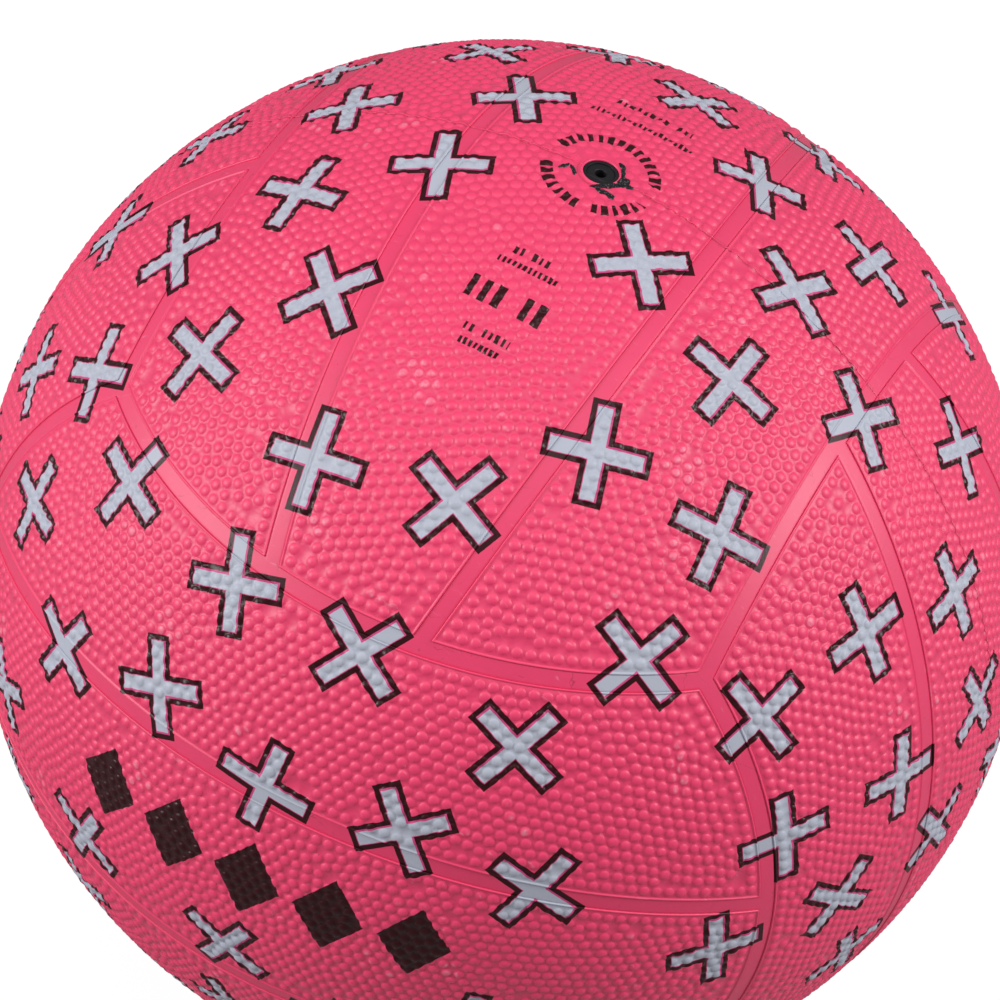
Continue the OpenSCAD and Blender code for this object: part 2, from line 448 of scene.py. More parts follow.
def centre_axes(sizes, side):
    """A strip's own axes: across it, along it and out through its middle."""
    outer = math.pi / 2 - FACE_HALF_ANGLE
    tilt = side * (sizes.middle_half_angle + outer) / 2
    cos, sin = math.cos(tilt), math.sin(tilt)
    return np.array([[cos, 0, -sin], [0, 1, 0], [sin, 0, cos]])


def to_flat(sizes, side, directions):
    """Lay directions out flat: distance across the strip and along it."""
    local = directions @ centre_axes(sizes, side).T
    across = np.arcsin(np.clip(local[..., 0], -1, 1))
    along = np.arctan2(local[..., 1], local[..., 2])
    return BALL_RADIUS * np.stack([across, along], -1)


def from_flat(sizes, side, flat):
    across, along = flat[..., 0] / BALL_RADIUS, flat[..., 1] / BALL_RADIUS
    local = np.stack(
        [np.sin(across), np.cos(across) * np.sin(along), np.cos(across) * np.cos(along)], -1
    )
    return local @ centre_axes(sizes, side)


def end_shares(sizes, side, count):
    """Shares across a strip of evenly spaced points on its end, where faces meet."""
    half = sizes.middle_half_angle
    split = math.asin(math.tan(half) / math.sqrt(2))
    if side == 0:
        turn = np.linspace(-split, split, count + 1)
        return np.arctan(math.sqrt(2) * np.sin(turn)) / half
    turn = np.linspace(split, math.pi / 4, count + 1)
    x = math.sin(FACE_HALF_ANGLE) * np.sin(turn)
    z = math.cos(FACE_HALF_ANGLE)
    share = np.linspace(0, 1, count + 1)
    for _ in range(8):
        tilt = half * (1 - share)
        miss = x * np.cos(tilt) - z * np.sin(tilt) - share * z
        share = share - miss / (half * (x * np.sin(tilt) + z * np.cos(tilt)) - z)
    return np.clip(share, 0, 1)


def outer_shares(sizes, middle_count, side_count):
    """Shares along a side strip's outer edge that meet the next face's strips point for point."""
    split = math.asin(math.tan(sizes.middle_half_angle) / math.sqrt(2))
    corner = math.pi / 4
    parts = (
        np.linspace(-corner, -split, side_count + 1)[:-1],
        np.linspace(-split, split, middle_count + 1)[:-1],
        np.linspace(split, corner, side_count + 1),
    )
    return np.concatenate(parts) / corner


def edge_loop(sizes, side, inset, spacing):
    """Directions round a strip's edge, counter-clockwise seen from outside."""
    long_count = round(LONG_EDGE * BALL_RADIUS / spacing)
    middle_count = round(MIDDLE_END * BALL_RADIUS / spacing)
    side_count = round(SIDE_END * BALL_RADIUS / spacing)
    along = np.linspace(-1, 1, long_count + 1)
    across = end_shares(sizes, side, middle_count if side == 0 else side_count)
    far_along = along if side == 0 else outer_shares(sizes, middle_count, side_count)
    low, high = across[0], across[-1]
    parts = [
        (across[:-1], np.full(len(across) - 1, -1.0)),
        (np.full(len(far_along) - 1, high), far_along[:-1]),
        (across[:0:-1], np.full(len(across) - 1, 1.0)),
        (np.full(len(along) - 1, low), along[:0:-1]),
    ]
    loop = np.concatenate([strip_directions(sizes, side, a, b, inset) for a, b in parts])
    return loop[::-1] if side < 0 else loop


def full_turn(count):
    """Even steps round a full circle."""
    return np.arange(count) * 2 * math.pi / count


def ring_loop(radius):
    """Directions round the valve's axis, counter-clockwise seen from outside."""
    turn = full_turn(VALVE_CORNERS)
    angle = radius / BALL_RADIUS
    across = math.sin(angle)
    level = np.full(VALVE_CORNERS, math.cos(angle))
    return np.stack([across * np.cos(turn), across * np.sin(turn), level], -1)


def smooth_step(low, high, value):
    share = np.clip((value - low) / (high - low), 0, 1)
    return share * share * (3 - 2 * share)


def ring_quads(outer, inner):
    """Four-sided faces between closed rows of as many indices, the outer one first."""
    corners = [outer, np.roll(outer, -1, -1), np.roll(inner, -1, -1), inner]
    return np.stack(corners, -1).reshape(-1, 4)


def ring_caps(ring, middle):
    """Three-sided faces from closed rows of indices to the point inside each row."""
    corners = [ring, np.roll(ring, -1, -1), np.broadcast_to(middle, ring.shape)]
    return np.stack(corners, -1).reshape(-1, 3)


def flat_grid(low, high, step):
    """A grid of flat points."""
    axes = [np.arange(low[k], high[k], step) for k in (0, 1)]
    return np.stack(np.meshgrid(*axes), -1).reshape(-1, 2)


class Skin:
    """Vertices and faces of one piece, gathered row by row."""

    def __init__(self):
        self.points = []
        self.flats = []
        self.reliefs = []
        self.faces = []
        self.under_faces = []
        self.count = 0

    def add(self, points, flats, relief):
        """Take in vertices and return their indices."""
        start = self.count
        self.points.append(points)
        self.flats.append(flats)
        self.reliefs.append(np.broadcast_to(relief, len(points)))
        self.count += len(points)
        return np.arange(start, self.count)

    def bridge(self, rows):
        """Join closed rows of as many vertices, the outermost first."""
        for outer, inner in zip(rows[:-1], rows[1:]):
            self.faces.append(ring_quads(outer, inner))

    def arrays(self):
        return [np.concatenate(rows) for rows in (self.points, self.flats, self.reliefs)]


def triangulate(flat, lengths):
    """Triangles that fill flat points, of which the first make closed loops of these lengths."""
    loops = np.split(np.arange(sum(lengths)), np.cumsum(lengths)[:-1])
    edges = np.concatenate([np.stack([loop, np.roll(loop, -1)], -1) for loop in loops])
    points = [Vector(point) for point in (flat / MM).tolist()]
    found = delaunay_2d_cdt(points, edges.tolist(), [], 1, 1e-6, False)
    if len(found[0]) != len(points):
        raise RuntimeError("the triangulation merged or added points")
    return np.array(found[2], int)


def close_pairs(points, reach):
    """Index pairs of flat points that lie within a distance of each other."""
    gap = points[:, None, :] - points[None, :, :]
    return np.nonzero(np.triu((gap**2).sum(-1) < reach**2, 1))


def even_points(loop, pitch):
    """Evenly spaced points on a flat closed loop, which starts and ends on a corner."""
    closed = np.vstack([loop, loop[:1]])
    steps = np.linalg.norm(np.diff(closed, axis=0), axis=1)
    length = np.concatenate([[0], np.cumsum(steps)])
    turn = np.diff(closed, axis=0) / steps[:, None]
    bend = np.abs(np.cross(np.vstack([turn[-1:], turn[:-1]]), turn))
    corners = np.nonzero(bend > CORNER_BEND)[0]
    marks = np.append(length[corners], length[-1] + length[corners[0]])
    wanted = np.concatenate(
        [
            np.linspace(a, b, max(1, round((b - a) / pitch)) + 1)[:-1]
            for a, b in zip(marks[:-1], marks[1:])
        ]
    )
    wanted = np.mod(wanted, length[-1])
    return np.stack([np.interp(wanted, length, closed[:, k]) for k in (0, 1)], -1)


def pebble_layout(sizes, side, rng, has_valve):
    """Flat centres, radii and height shares of one panel's pebbles."""
    pitch = sizes.pebble_pitch
    row_inset = sizes.seam_width / 2 + sizes.first_row
    row_loop = to_flat(sizes, side, edge_loop(sizes, side, row_inset, 0.5 * MM))
    border = even_points(row_loop, pitch)
    low, high = row_loop.min(0), row_loop.max(0)
    row_step = pitch * math.sqrt(3) / 2
    columns = np.arange(low[0], high[0] + row_step, row_step)
    rows = np.arange(low[1] - pitch, high[1] + pitch, pitch)
    grid_x, grid_y = np.meshgrid(columns, rows, indexing="ij")
    grid_y = grid_y + (np.arange(len(columns)) % 2)[:, None] * pitch / 2
    inner = np.stack([grid_x.ravel(), grid_y.ravel()], -1)
    inner = inner + rng.normal(0, PEBBLE_SHIFT * pitch, inner.shape)
    edge = edge_distance(sizes, side, from_flat(sizes, side, inner))
    inner = inner[edge > row_inset + LOOSE_INSET * pitch]
    centres = np.concatenate([border, inner])
    fixed = np.arange(len(centres)) < len(border)
    valve = to_flat(sizes, side, Z_AXIS)
    clear = sizes.bare_radius + sizes.pebble_diameter / 2
    if has_valve:
        away = np.linalg.norm(centres - valve, axis=1) > clear + 0.1 * pitch
        centres, fixed = centres[away], fixed[away]
    for _ in range(4):
        first, second = close_pairs(centres, PUSH_REACH * pitch)
        for _ in range(5):
            gap = centres[first] - centres[second]
            length = np.maximum(np.linalg.norm(gap, axis=1), 0.1 * pitch)
            push = np.maximum(pitch - length, 0) / length
            step = gap * push[:, None] * PEBBLE_PUSH
            move = np.zeros_like(centres)
            for k in (0, 1):
                move[:, k] = np.bincount(first, step[:, k], len(centres))
                move[:, k] -= np.bincount(second, step[:, k], len(centres))
            move[fixed] = 0
            centres = centres + move
            if has_valve:
                off = centres - valve
                distance = np.linalg.norm(off, axis=1)[:, None]
                centres = valve + off * np.maximum(clear / distance, 1)
    return sized_pebbles(sizes, side, centres, rng, has_valve)


def sized_pebbles(sizes, side, centres, rng, has_valve):
    """Give each pebble a radius that clears its neighbours, and a height."""
    directions = from_flat(sizes, side, centres)
    room = edge_distance(sizes, side, directions)
    room = room - sizes.seam_width / 2 - sizes.lip_width - 2 * sizes.pebble_gap
    radii = sizes.pebble_diameter / 2 * (1 + rng.normal(0, RADIUS_SPREAD, len(centres)))
    radii = np.minimum(radii, room)
    first, second = close_pairs(centres, 1.25 * sizes.pebble_diameter)
    length = BALL_RADIUS * np.linalg.norm(directions[first] - directions[second], axis=1)
    for _ in range(4):
        excess = radii[first] + radii[second] + sizes.pebble_gap - length
        order = np.nonzero(excess > 0)[0]
        cut = np.zeros(len(radii))
        np.maximum.at(cut, first[order], excess[order] / 2)
        np.maximum.at(cut, second[order], excess[order] / 2)
        radii = radii - cut
    tall = radii / (sizes.pebble_diameter / 2)
    tall = np.clip(tall * (USUAL_HEIGHT + rng.normal(0, HEIGHT_SPREAD, len(radii))), 0, 1)
    if has_valve:
        rise = smooth_step(VALVE_LOW_FROM, VALVE_LOW_TO, valve_distance(directions))
        tall = tall * (VALVE_LOW + (1 - VALVE_LOW) * rise)
    keep = radii > LEAST_RADIUS * sizes.pebble_diameter
    return directions[keep], radii[keep], tall[keep]


def ground_radius(sizes):
    return BALL_RADIUS - sizes.pebble_height


def dome_height(sizes, share, tall):
    """Height of a pebble at a share of its radius from the middle."""
    return sizes.pebble_height * tall * np.clip(1 - share**2, 0, 1) ** DOME_POWER


def relief_heights(sizes, side, directions, pebbles):
    """Height of a panel's surface above its ground at directions on it or on the bands beside it."""
    centres, radii, tall = pebbles
    facing = directions @ centres.T
    nearest = facing.argmax(1)
    away = BALL_RADIUS * np.arccos(np.clip(facing.max(1), -1, 1))
    heights = dome_height(sizes, away / radii[nearest], tall[nearest])
    edge = edge_distance(sizes, side, directions) - sizes.seam_width / 2
    shares = np.array(LIP_SHARES)
    lip = np.interp(edge / sizes.lip_width, shares[:, 0], shares[:, 1]) * sizes.lip_height
    heights = np.maximum(heights, lip)
    return np.where(edge < 0, -sizes.seam_sink, heights)


def add_pebbles(sizes, side, skin, pebbles, rng):
    """Add every pebble's rim and dome, and return the rims' indices, one row each."""
    centres, radii, tall = pebbles
    count = len(centres)
    helper = np.where(np.abs(centres[:, 1:2]) < 0.9, Y_AXIS, X_AXIS)
    first = unit(np.cross(helper, centres))
    second = np.cross(centres, first)
    turn = full_turn(DOME_CORNERS)
    spin = (np.arange(count) * PEBBLE_SPIN)[:, None] + turn[None, :]
    dents = np.zeros((count, DOME_CORNERS))
    for waves, depth in PEBBLE_DENTS:
        phase = rng.uniform(0, 2 * math.pi, (count, 1))
        dents += rng.uniform(0, depth, (count, 1)) * (1 + np.cos(waves * turn + phase))
    lean = rng.normal(0, PEBBLE_LEAN, (2, count, 1, 1)) * radii[:, None, None] / BALL_RADIUS
    lean = lean[0] * first[:, None, :] + lean[1] * second[:, None, :]
    sideways = (
        first[:, None, :] * np.cos(spin)[..., None] + second[:, None, :] * np.sin(spin)[..., None]
    )
    rows = []
    for share in (1.0, *DOME_SHARES):
        angle = (radii[:, None] * share * (1 - dents) / BALL_RADIUS)[..., None]
        directions = centres[:, None, :] * np.cos(angle) + sideways * np.sin(angle)
        directions = unit(directions + lean * (1 - share))
        height = dome_height(sizes, share, tall)
        points = directions * (ground_radius(sizes) + height)[:, None, None]
        flats = to_flat(sizes, side, directions.reshape(-1, 3))
        relief = np.repeat(height / sizes.pebble_height, DOME_CORNERS)
        index = skin.add(points.reshape(-1, 3), flats, relief)
        rows.append(index.reshape(-1, DOME_CORNERS))
    height = dome_height(sizes, 0.0, tall)
    tops = unit(centres + lean[:, 0, :])
    crowns = skin.add(
        tops * (ground_radius(sizes) + height)[:, None],
        to_flat(sizes, side, tops),
        height / sizes.pebble_height,
    )
    skin.bridge(rows)
    skin.faces.append(ring_caps(rows[-1], crowns[:, None]))
    return rows[0]


def add_flash(sizes, face, side, skin, pebbles):
    """Add the parting line where its plane crosses this panel, as a thin closed ridge."""
    across = np.array(FACE_TURNS[face], float).T @ Y_AXIS
    if abs(across[2]) > 0.5 or (abs(across[0]) > 0.5 and side != 0):
        return None
    run = X_AXIS if abs(across[1]) > 0.5 else Y_AXIS
    angle = np.arange(-1.0, 1.0, FLASH_STEP / BALL_RADIUS)
    spine = np.sin(angle)[:, None] * run + np.cos(angle)[:, None] * Z_AXIS
    keep = edge_distance(sizes, side, spine) > 0
    if face == "top" and side == 0:
        keep &= np.abs(angle) > (sizes.neck_hole / 2 + FLASH_GAP) / BALL_RADIUS
    spine, angle = spine[keep], angle[keep]
    lateral = np.abs(across) * sizes.flash_width / 2 / BALL_RADIUS
    by_valve = (np.abs(angle) * BALL_RADIUS < FLASH_LOW) & (face == "top")
    most = np.where(by_valve, VALVE_RISE * MM, sizes.pebble_height - FLASH_BELOW)
    index = []
    for number, sideways in enumerate((-1, 0, 1)):
        directions = unit(spine + sideways * lateral) if sideways else spine
        height = relief_heights(sizes, side, directions, pebbles)
        if sideways:
            height = height - FLASH_SINK
        else:
            height = np.minimum(height + sizes.flash_height, most)
        points = directions * (ground_radius(sizes) + height)[:, None]
        flats = np.stack([np.full(len(points), number / 2), angle], -1)
        index.append(skin.add(points, flats, height / sizes.pebble_height))
    joined = np.diff(angle) < FLASH_BRIDGE / BALL_RADIUS
    left, crest, right = index
    faces = [
        np.stack([a[:-1], b[:-1], b[1:], a[1:]], -1)[joined]
        for a, b in ((left, crest), (crest, right), (right, left))
    ]
    ends = np.nonzero(~joined)[0]
    caps = [(left[i], right[i], crest[i]) for i in (0, *(ends + 1))]
    caps += [(left[i], crest[i], right[i]) for i in (*ends, len(angle) - 1)]
    return faces, np.array(caps)


def cover_panel_skin(sizes, face, side, rng):
    """Build one panel in the top face's place: its lip, pebbled top, walls and underside."""
    skin = Skin()
    has_valve = face == "top" and side == 0
    ground = ground_radius(sizes)
    under = BALL_RADIUS - sizes.panel_thickness
    band = ground - sizes.seam_sink
    pebbles = pebble_layout(sizes, side, rng, has_valve)

    def row(directions, laid, radius):
        flats = to_flat(sizes, side, laid)
        return skin.add(directions * radius, flats, (radius - ground) / sizes.pebble_height)

    def edge_rows(make_loop, sign):
        """Rows of one edge, from the underside up the wall and over the lip to the ground."""
        foot = make_loop(0.0)
        rows = [row(foot, make_loop(-WALL_FOOT * sign), under)]
        rows.append(row(foot, make_loop(-WALL_MIDDLE * sign), band - WALL_DROP))
        for width_share, height_share in LIP_SHARES:
            loop = make_loop(sign * width_share * sizes.lip_width)
            rows.append(row(loop, loop, ground + height_share * sizes.lip_height))
        loop = make_loop(sign * (sizes.lip_width + sizes.pebble_gap))
        rows.append(row(loop, loop, ground))
        return rows

    def outer_loop(offset):
        return edge_loop(sizes, side, sizes.seam_width / 2 + offset, PANEL_STEP)

    def hole_loop(offset):
        return ring_loop(sizes.neck_hole / 2 - offset)

    outer = edge_rows(outer_loop, 1)
    skin.bridge(outer)
    loops, under_loops = [outer[-1]], [outer[0]]
    if has_valve:
        hole = edge_rows(hole_loop, -1)
        skin.bridge(hole[::-1])
        loops.append(hole[-1])
        under_loops.append(hole[0])
    loops.extend(add_pebbles(sizes, side, skin, pebbles, rng))

    chosen = np.concatenate(loops)
    lengths = [len(loop) for loop in loops]
    triangles = triangulate(np.concatenate(skin.flats)[chosen], lengths)
    owners = np.repeat(np.arange(len(loops)), lengths)[triangles]
    same = (owners[:, 0] == owners[:, 1]) & (owners[:, 1] == owners[:, 2])
    skin.faces.append(chosen[triangles[~(same & (owners[:, 0] > 0))]])
    fill_floor(sizes, side, skin, under_loops, under, np.eye(3), True, **PANEL_FLOOR)
    return skin, pebbles


def fill_floor(sizes, side, skin, loops, level, turn, inward, step, margin, clear):
    """Fill a closed row with coarse triangles, round a hole if a second row is given."""
    chosen = np.concatenate(loops)
    flats = to_flat(sizes, side, np.concatenate(skin.points)[chosen] / level @ turn)
    grid = flat_grid(flats.min(0), flats.max(0), step)
    inside = from_flat(sizes, side, grid)
    keep = edge_distance(sizes, side, inside) > margin
    if len(loops) > 1:
        keep &= valve_distance(inside) > clear
    extra = skin.add(inside[keep] * level @ turn.T, grid[keep], np.zeros(keep.sum()))
    triangles = triangulate(np.concatenate([flats, grid[keep]]), [len(loop) for loop in loops])
    in_hole = (triangles >= len(loops[0])) & (triangles < len(chosen))
    faces = np.concatenate([chosen, extra])[triangles[~in_hole.all(1)]]
    if inward:
        skin.under_faces.append(faces[:, ::-1])
    else:
        skin.faces.append(faces)


def spread_to(values, low, high):
    """Scale each column of values to run from low to high."""
    least, most = values.min(0), values.max(0)
    return np.array(low) + (values - least) / (most - least) * (np.array(high) - np.array(low))


def make_mesh(name, points, faces, uv_faces):
    """A mesh object from points, arrays of faces, and each array's flat coordinates by vertex."""
    mesh = bpy.data.meshes.new(name)
    listed = [face for group in faces for face in group.tolist()]
    mesh.from_pydata(points.tolist(), [], listed)
    mesh.polygons.foreach_set("use_smooth", np.ones(len(mesh.polygons), bool))
    if uv_faces is not None:
        layer = mesh.uv_layers.new(name="OFBake")
        coordinates = np.concatenate([uv[group.ravel()] for group, uv in zip(faces, uv_faces)])
        layer.uv.foreach_set("vector", coordinates.astype(np.float32).ravel())
    mesh.validate(clean_customdata=False)
    mesh.update()
    piece = bpy.data.objects.new(name, mesh)
    bpy.context.scene.collection.objects.link(piece)
    return piece


def set_attribute(piece, name, kind, values):
    layer = piece.data.attributes.new(name, kind, "POINT")
    field = "vector" if kind == "FLOAT_VECTOR" else "value"
    layer.data.foreach_set(field, np.asarray(values, np.float32).ravel())


def tangent_axes(centre, turn):
    """Two axes square to a direction, turned about it."""
    centre = unit(centre)
    helper = Z_AXIS if abs(centre[2]) < 0.9 else X_AXIS
    first = unit(np.cross(helper, centre))
    second = np.cross(centre, first)
    return (
        first * math.cos(turn) + second * math.sin(turn),
        second * math.cos(turn) - first * math.sin(turn),
    )


def print_layout(prints):
    """The seats of the outlined marks over the whole ball, and two axes for each."""
    rng = np.random.default_rng(prints.seed)
    number = np.arange(prints.count)
    height = 1 - (2 * number + 1) / prints.count
    turn = number * math.pi * (3 - math.sqrt(5))
    level = np.sqrt(1 - height**2)
    seats = np.stack([level * np.cos(turn), level * np.sin(turn), height], -1)
    seats = unit(seats + rng.normal(0, MARK_SHIFT, seats.shape))
    least = 2 * MARK_REACH + MARK_SPARE
    for _ in range(MARK_ROUNDS):
        gap = seats[:, None, :] - seats[None, :, :]
        length = np.linalg.norm(gap, axis=-1) + np.eye(len(seats))
        push = np.clip(least / BALL_RADIUS - length, 0, None) / length * MARK_PUSH
        seats = seats + (gap * push[..., None]).sum(1)
        for turned, half_length, half_height in PRINT_BLOCKS:
            seats = keep_off(seats, turned, half_length, half_height)
        seats = unit(seats)
    gap = np.linalg.norm(seats[:, None] - seats[None], axis=-1) + np.eye(len(seats))
    if gap.min() * BALL_RADIUS < 2 * MARK_REACH:
        raise RuntimeError("two printed marks lie too close together")
    axes = [tangent_axes(seat, rng.uniform(0, math.pi)) for seat in seats]
    return seats, np.array(axes)


def keep_off(seats, turned, half_length, half_height):
    """Move seats off a block of small print, which lies across the plane x = 0."""
    centre = np.array([0.0, -math.sin(turned), math.cos(turned)])
    up = np.array([0.0, math.cos(turned), math.sin(turned)])
    aside = np.clip(seats[:, :1], -half_length / BALL_RADIUS, half_length / BALL_RADIUS)
    rise = np.clip(seats @ up, -half_height / BALL_RADIUS, half_height / BALL_RADIUS)
    nearest = unit(centre + aside * X_AXIS + rise[:, None] * up)
    away = seats - nearest
    distance = np.linalg.norm(away, axis=1)[:, None]
    short = np.clip(MARK_REACH / BALL_RADIUS - distance, 0, None)
    return seats + away / np.maximum(distance, 1e-6) * short


def mark_coordinates(prints, layout, directions):
    """Where points lie in the nearest mark's own axes, in millimetres, and 1 within its reach."""
    seats, axes = layout
    facing = directions @ seats.T
    nearest = facing.argmax(1)
    across = np.einsum("ij,ij->i", directions, axes[nearest, 0]) * BALL_RADIUS / MM
    along = np.einsum("ij,ij->i", directions, axes[nearest, 1]) * BALL_RADIUS / MM
    within = facing.max(1) > math.cos(MARK_REACH / BALL_RADIUS)
    return np.stack([across, along, within], -1)


def panel_name(face, side):
    return f"{face}_panel_{STRIP_WORDS[face][side + 1]}"


def check_box(points, node):
    """Stop if a piece departs from the box of the CAD node that it stands for."""
    low, high = np.array(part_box(node))
    worst = np.abs([points.min(0) - low, points.max(0) - high]).max()
    if worst > BOX_SLACK:
        raise RuntimeError(f"the piece for {node} departs from it by {worst / MM:.2f} mm")


def panel_groups(skin, flash, count):
    """A panel's arrays of faces, and each array's flat coordinates by vertex.

    The count is that of the vertices which aren't the parting line's.
    """
    flats = np.concatenate(skin.flats)
    blank = np.zeros_like(flats)

    def filled(values, start=0):
        uv = blank.copy()
        uv[start : start + len(values)] = values
        return uv

    top = filled(spread_to(flats[:count], *TOP_PATCH))
    under = filled(spread_to(flats[:count], *UNDER_PATCH))
    groups = skin.faces + skin.under_faces
    uvs = [top] * len(skin.faces) + [under] * len(skin.under_faces)
    if flash is None:
        return groups, uvs
    ridge = flats[count:]
    third = len(ridge) // 3
    column = np.repeat(np.arange(3), third)
    along = spread_to(ridge, (0, 0.01), (1, 0.99))[:, 1]
    for place, group in enumerate(flash[0]):
        aside = FLASH_EDGE + FLASH_NEXT * place + FLASH_WIDE * (column == (place + 1) % 3)
        groups.append(group)
        uvs.append(filled(np.stack([aside, along], -1), count))
    caps = np.repeat(FLASH_ENDS, third, 0)
    caps[:, 1] += spread_to(ridge, (0, 0.0), (1, 0.96))[:, 1]
    return groups + [flash[1]], uvs + [filled(caps, count)]


def build_cover(scene):
    sizes, prints = scene.netball_cover, scene.netball_prints
    layout = print_layout(prints)
    wear = {"uneven": 0.14, "speck_share": 0.03, "line_spacing": 14.0, "line_depth": 0.35}
    material = printed_rubber(scene, "Pebbled cover rubber", **wear)
    for number, face in enumerate(FACE_TURNS):
        turn = np.array(FACE_TURNS[face], float)
        for side in SIDES:
            rng = np.random.default_rng(sizes.seed + 3 * number + side + 1)
            skin, pebbles = cover_panel_skin(sizes, face, side, rng)
            count = skin.count
            flash = add_flash(sizes, face, side, skin, pebbles)
            points, _, relief = skin.arrays()
            placed = points @ turn.T
            node = panel_name(face, side)
            piece = make_mesh(node + "_pebbled", placed, *panel_groups(skin, flash, count))
            set_attribute(piece, "relief", "FLOAT", relief)
            marks = mark_coordinates(prints, layout, unit(placed))
            set_attribute(piece, "mark", "FLOAT_VECTOR", marks)
            piece.data.materials.append(material)
            check_box(placed[:count], node)
            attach(piece, "ball")
            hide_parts(node)


def build_net(scene):
    """The seam net: ribs that meet the panels over their cement, on a shell that runs under them."""
    sizes, prints = scene.netball_cover, scene.netball_prints
    layout = print_layout(prints)
    band = ground_radius(sizes) - sizes.seam_sink
    outer_level = BALL_RADIUS - sizes.panel_thickness - sizes.glue_line
    inner_level = outer_level - sizes.net_thickness
    rib_half = sizes.seam_width / 2 - RIB_GAP
    insets = [share * rib_half for share in RIB_ROWS] + [rib_half - RIB_ROUND, rib_half]
    drops = [0.0] * (len(insets) - 1) + [RIB_DROP]
    circle = ring_loop(sizes.neck_hole / 2)
    skin = Skin()
    spans = []
    for face in FACE_TURNS:
        turn = np.array(FACE_TURNS[face], float)
        for side in SIDES:
            has_valve = face == "top" and side == 0

            def row(directions, laid, radius):
                flats = to_flat(sizes, side, laid)
                return skin.add(directions * radius @ turn.T, flats, np.zeros(len(flats)))

            first = skin.count
            loops = [edge_loop(sizes, side, inset, RIB_STEP) for inset in insets]
            rows = [row(loop, loop, band - drop) for loop, drop in zip(loops, drops)]
            wall = edge_loop(sizes, side, rib_half + RIB_FOOT, RIB_STEP)
            rows.append(row(loops[-1], wall, outer_level))
            skin.bridge(rows)
            upper = [rows[-1]]
            if has_valve:
                upper.append(row(circle, circle, outer_level))
            fill_floor(sizes, side, skin, upper, outer_level, turn, False, **NET_FLOOR)
            middle = skin.count
            lower = [row(loops[0], loops[0], inner_level)]
            if has_valve:
                lower.append(row(circle, circle, inner_level))
            fill_floor(sizes, side, skin, lower, inner_level, turn, True, **NET_FLOOR)
            if has_valve:
                skin.bridge([upper[1], lower[1]])
            spans.append((first, middle, skin.count))
    points, flats, _ = skin.arrays()
    uv = np.zeros((len(points), 2))
    for place, (first, middle, last) in enumerate(spans):
        ends = ((first, middle), (middle, last))
        for (start, stop), (columns, bottom, height) in zip(ends, NET_PATCHES):
            corner = np.array([place % columns / columns, bottom + place // columns * height])
            size = np.array([1 / columns, height])
            low, high = corner + PATCH_MARGIN * size, corner + (1 - PATCH_MARGIN) * size
            uv[start:stop] = spread_to(flats[start:stop], low, high)
    groups = skin.faces + skin.under_faces
    piece = make_mesh("seam_net_ribbed", points, groups, [uv] * len(groups))
    weld(piece, WELD_REACH)
    directions = np.array([vertex.co for vertex in piece.data.vertices])
    marks = mark_coordinates(prints, layout, unit(directions))
    set_attribute(piece, "mark", "FLOAT_VECTOR", marks)
    wear = {"uneven": 0.2, "speck_share": 0.07, "line_spacing": 6.0, "line_depth": 0.6}
    material = printed_rubber(scene, "Smooth seam rubber", **wear)
    piece.data.materials.append(material)
    check_box(points, "seam_net")
    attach(piece, "ball")
    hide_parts("seam_net")


def weld(piece, distance):
    shape = bmesh.new()
    shape.from_mesh(piece.data)
    bmesh.ops.remove_doubles(shape, verts=shape.verts, dist=distance)
    shape.to_mesh(piece.data)
    shape.free()
    piece.data.update()


class Wire:
    """A value in a shader tree, which takes part in sums like a number."""

    def __init__(self, node, output=0):
        self.tree = node.id_data
        self.socket = node.outputs[output]

    def math(self, operation, *others):
        return math_node(self.tree, operation, self, *others)

    def __add__(self, other):
        return self.math("ADD", other)

    def __sub__(self, other):
        return self.math("SUBTRACT", other)

    def __rsub__(self, other):
        return math_node(self.tree, "SUBTRACT", other, self)

    def __mul__(self, other):
        return self.math("MULTIPLY", other)

    def __truediv__(self, other):
        return self.math("DIVIDE", other)

    def __rtruediv__(self, other):
        return math_node(self.tree, "DIVIDE", other, self)

    def __gt__(self, other):
        return self.math("GREATER_THAN", other)

    def __lt__(self, other):
        return self.math("LESS_THAN", other)

    def __abs__(self):
        return self.math("ABSOLUTE")


def feed(value, socket):
    """Link a wire to a socket, or set the socket to a plain number or colour."""
    if isinstance(value, Wire):
        value.tree.links.new(value.socket, socket)
    else:
        socket.default_value = value


def add_node(tree, kind, *values, settings=None, **inputs):
    """Add a node and feed its inputs in order, or by name with _ for a space."""
    node = tree.nodes.new(kind)
    for name, value in (settings or {}).items():
        setattr(node, name, value)
    for number, value in enumerate(values):
        feed(value, node.inputs[number])
    for name, value in inputs.items():
        feed(value, node.inputs[name.replace("_", " ")])
    return node


def math_node(tree, operation, *values):
    return Wire(add_node(tree, "ShaderNodeMath", *values, settings={"operation": operation}))


def highest(first, *others):
    for other in others:
        first = first.math("MAXIMUM", other)
    return first


def noise(place, scale, detail, roughness):
    values = {"Scale": scale, "Detail": detail, "Roughness": roughness}
    return Wire(add_node(place.tree, "ShaderNodeTexNoise", Vector=place, **values), "Fac")


def map_range(value, from_low, from_high, to_low=0.0, to_high=1.0):
    values = (value, from_low, from_high, to_low, to_high)
    return Wire(add_node(value.tree, "ShaderNodeMapRange", *values))


def mix_colour(factor, first, second):
    node = add_node(factor.tree, "ShaderNodeMix", factor, settings={"data_type": "RGBA"})
    for label, value in (("A", first), ("B", second)):
        feed(value, next(s for s in node.inputs if s.name == label and s.enabled))
    return Wire(node, next(n for n, s in enumerate(node.outputs) if s.enabled))


def scaled(vector, scale):
    """A vector or colour multiplied by a number."""
    settings = {"operation": "SCALE"}
    return Wire(add_node(vector.tree, "ShaderNodeVectorMath", vector, settings=settings, Scale=scale))


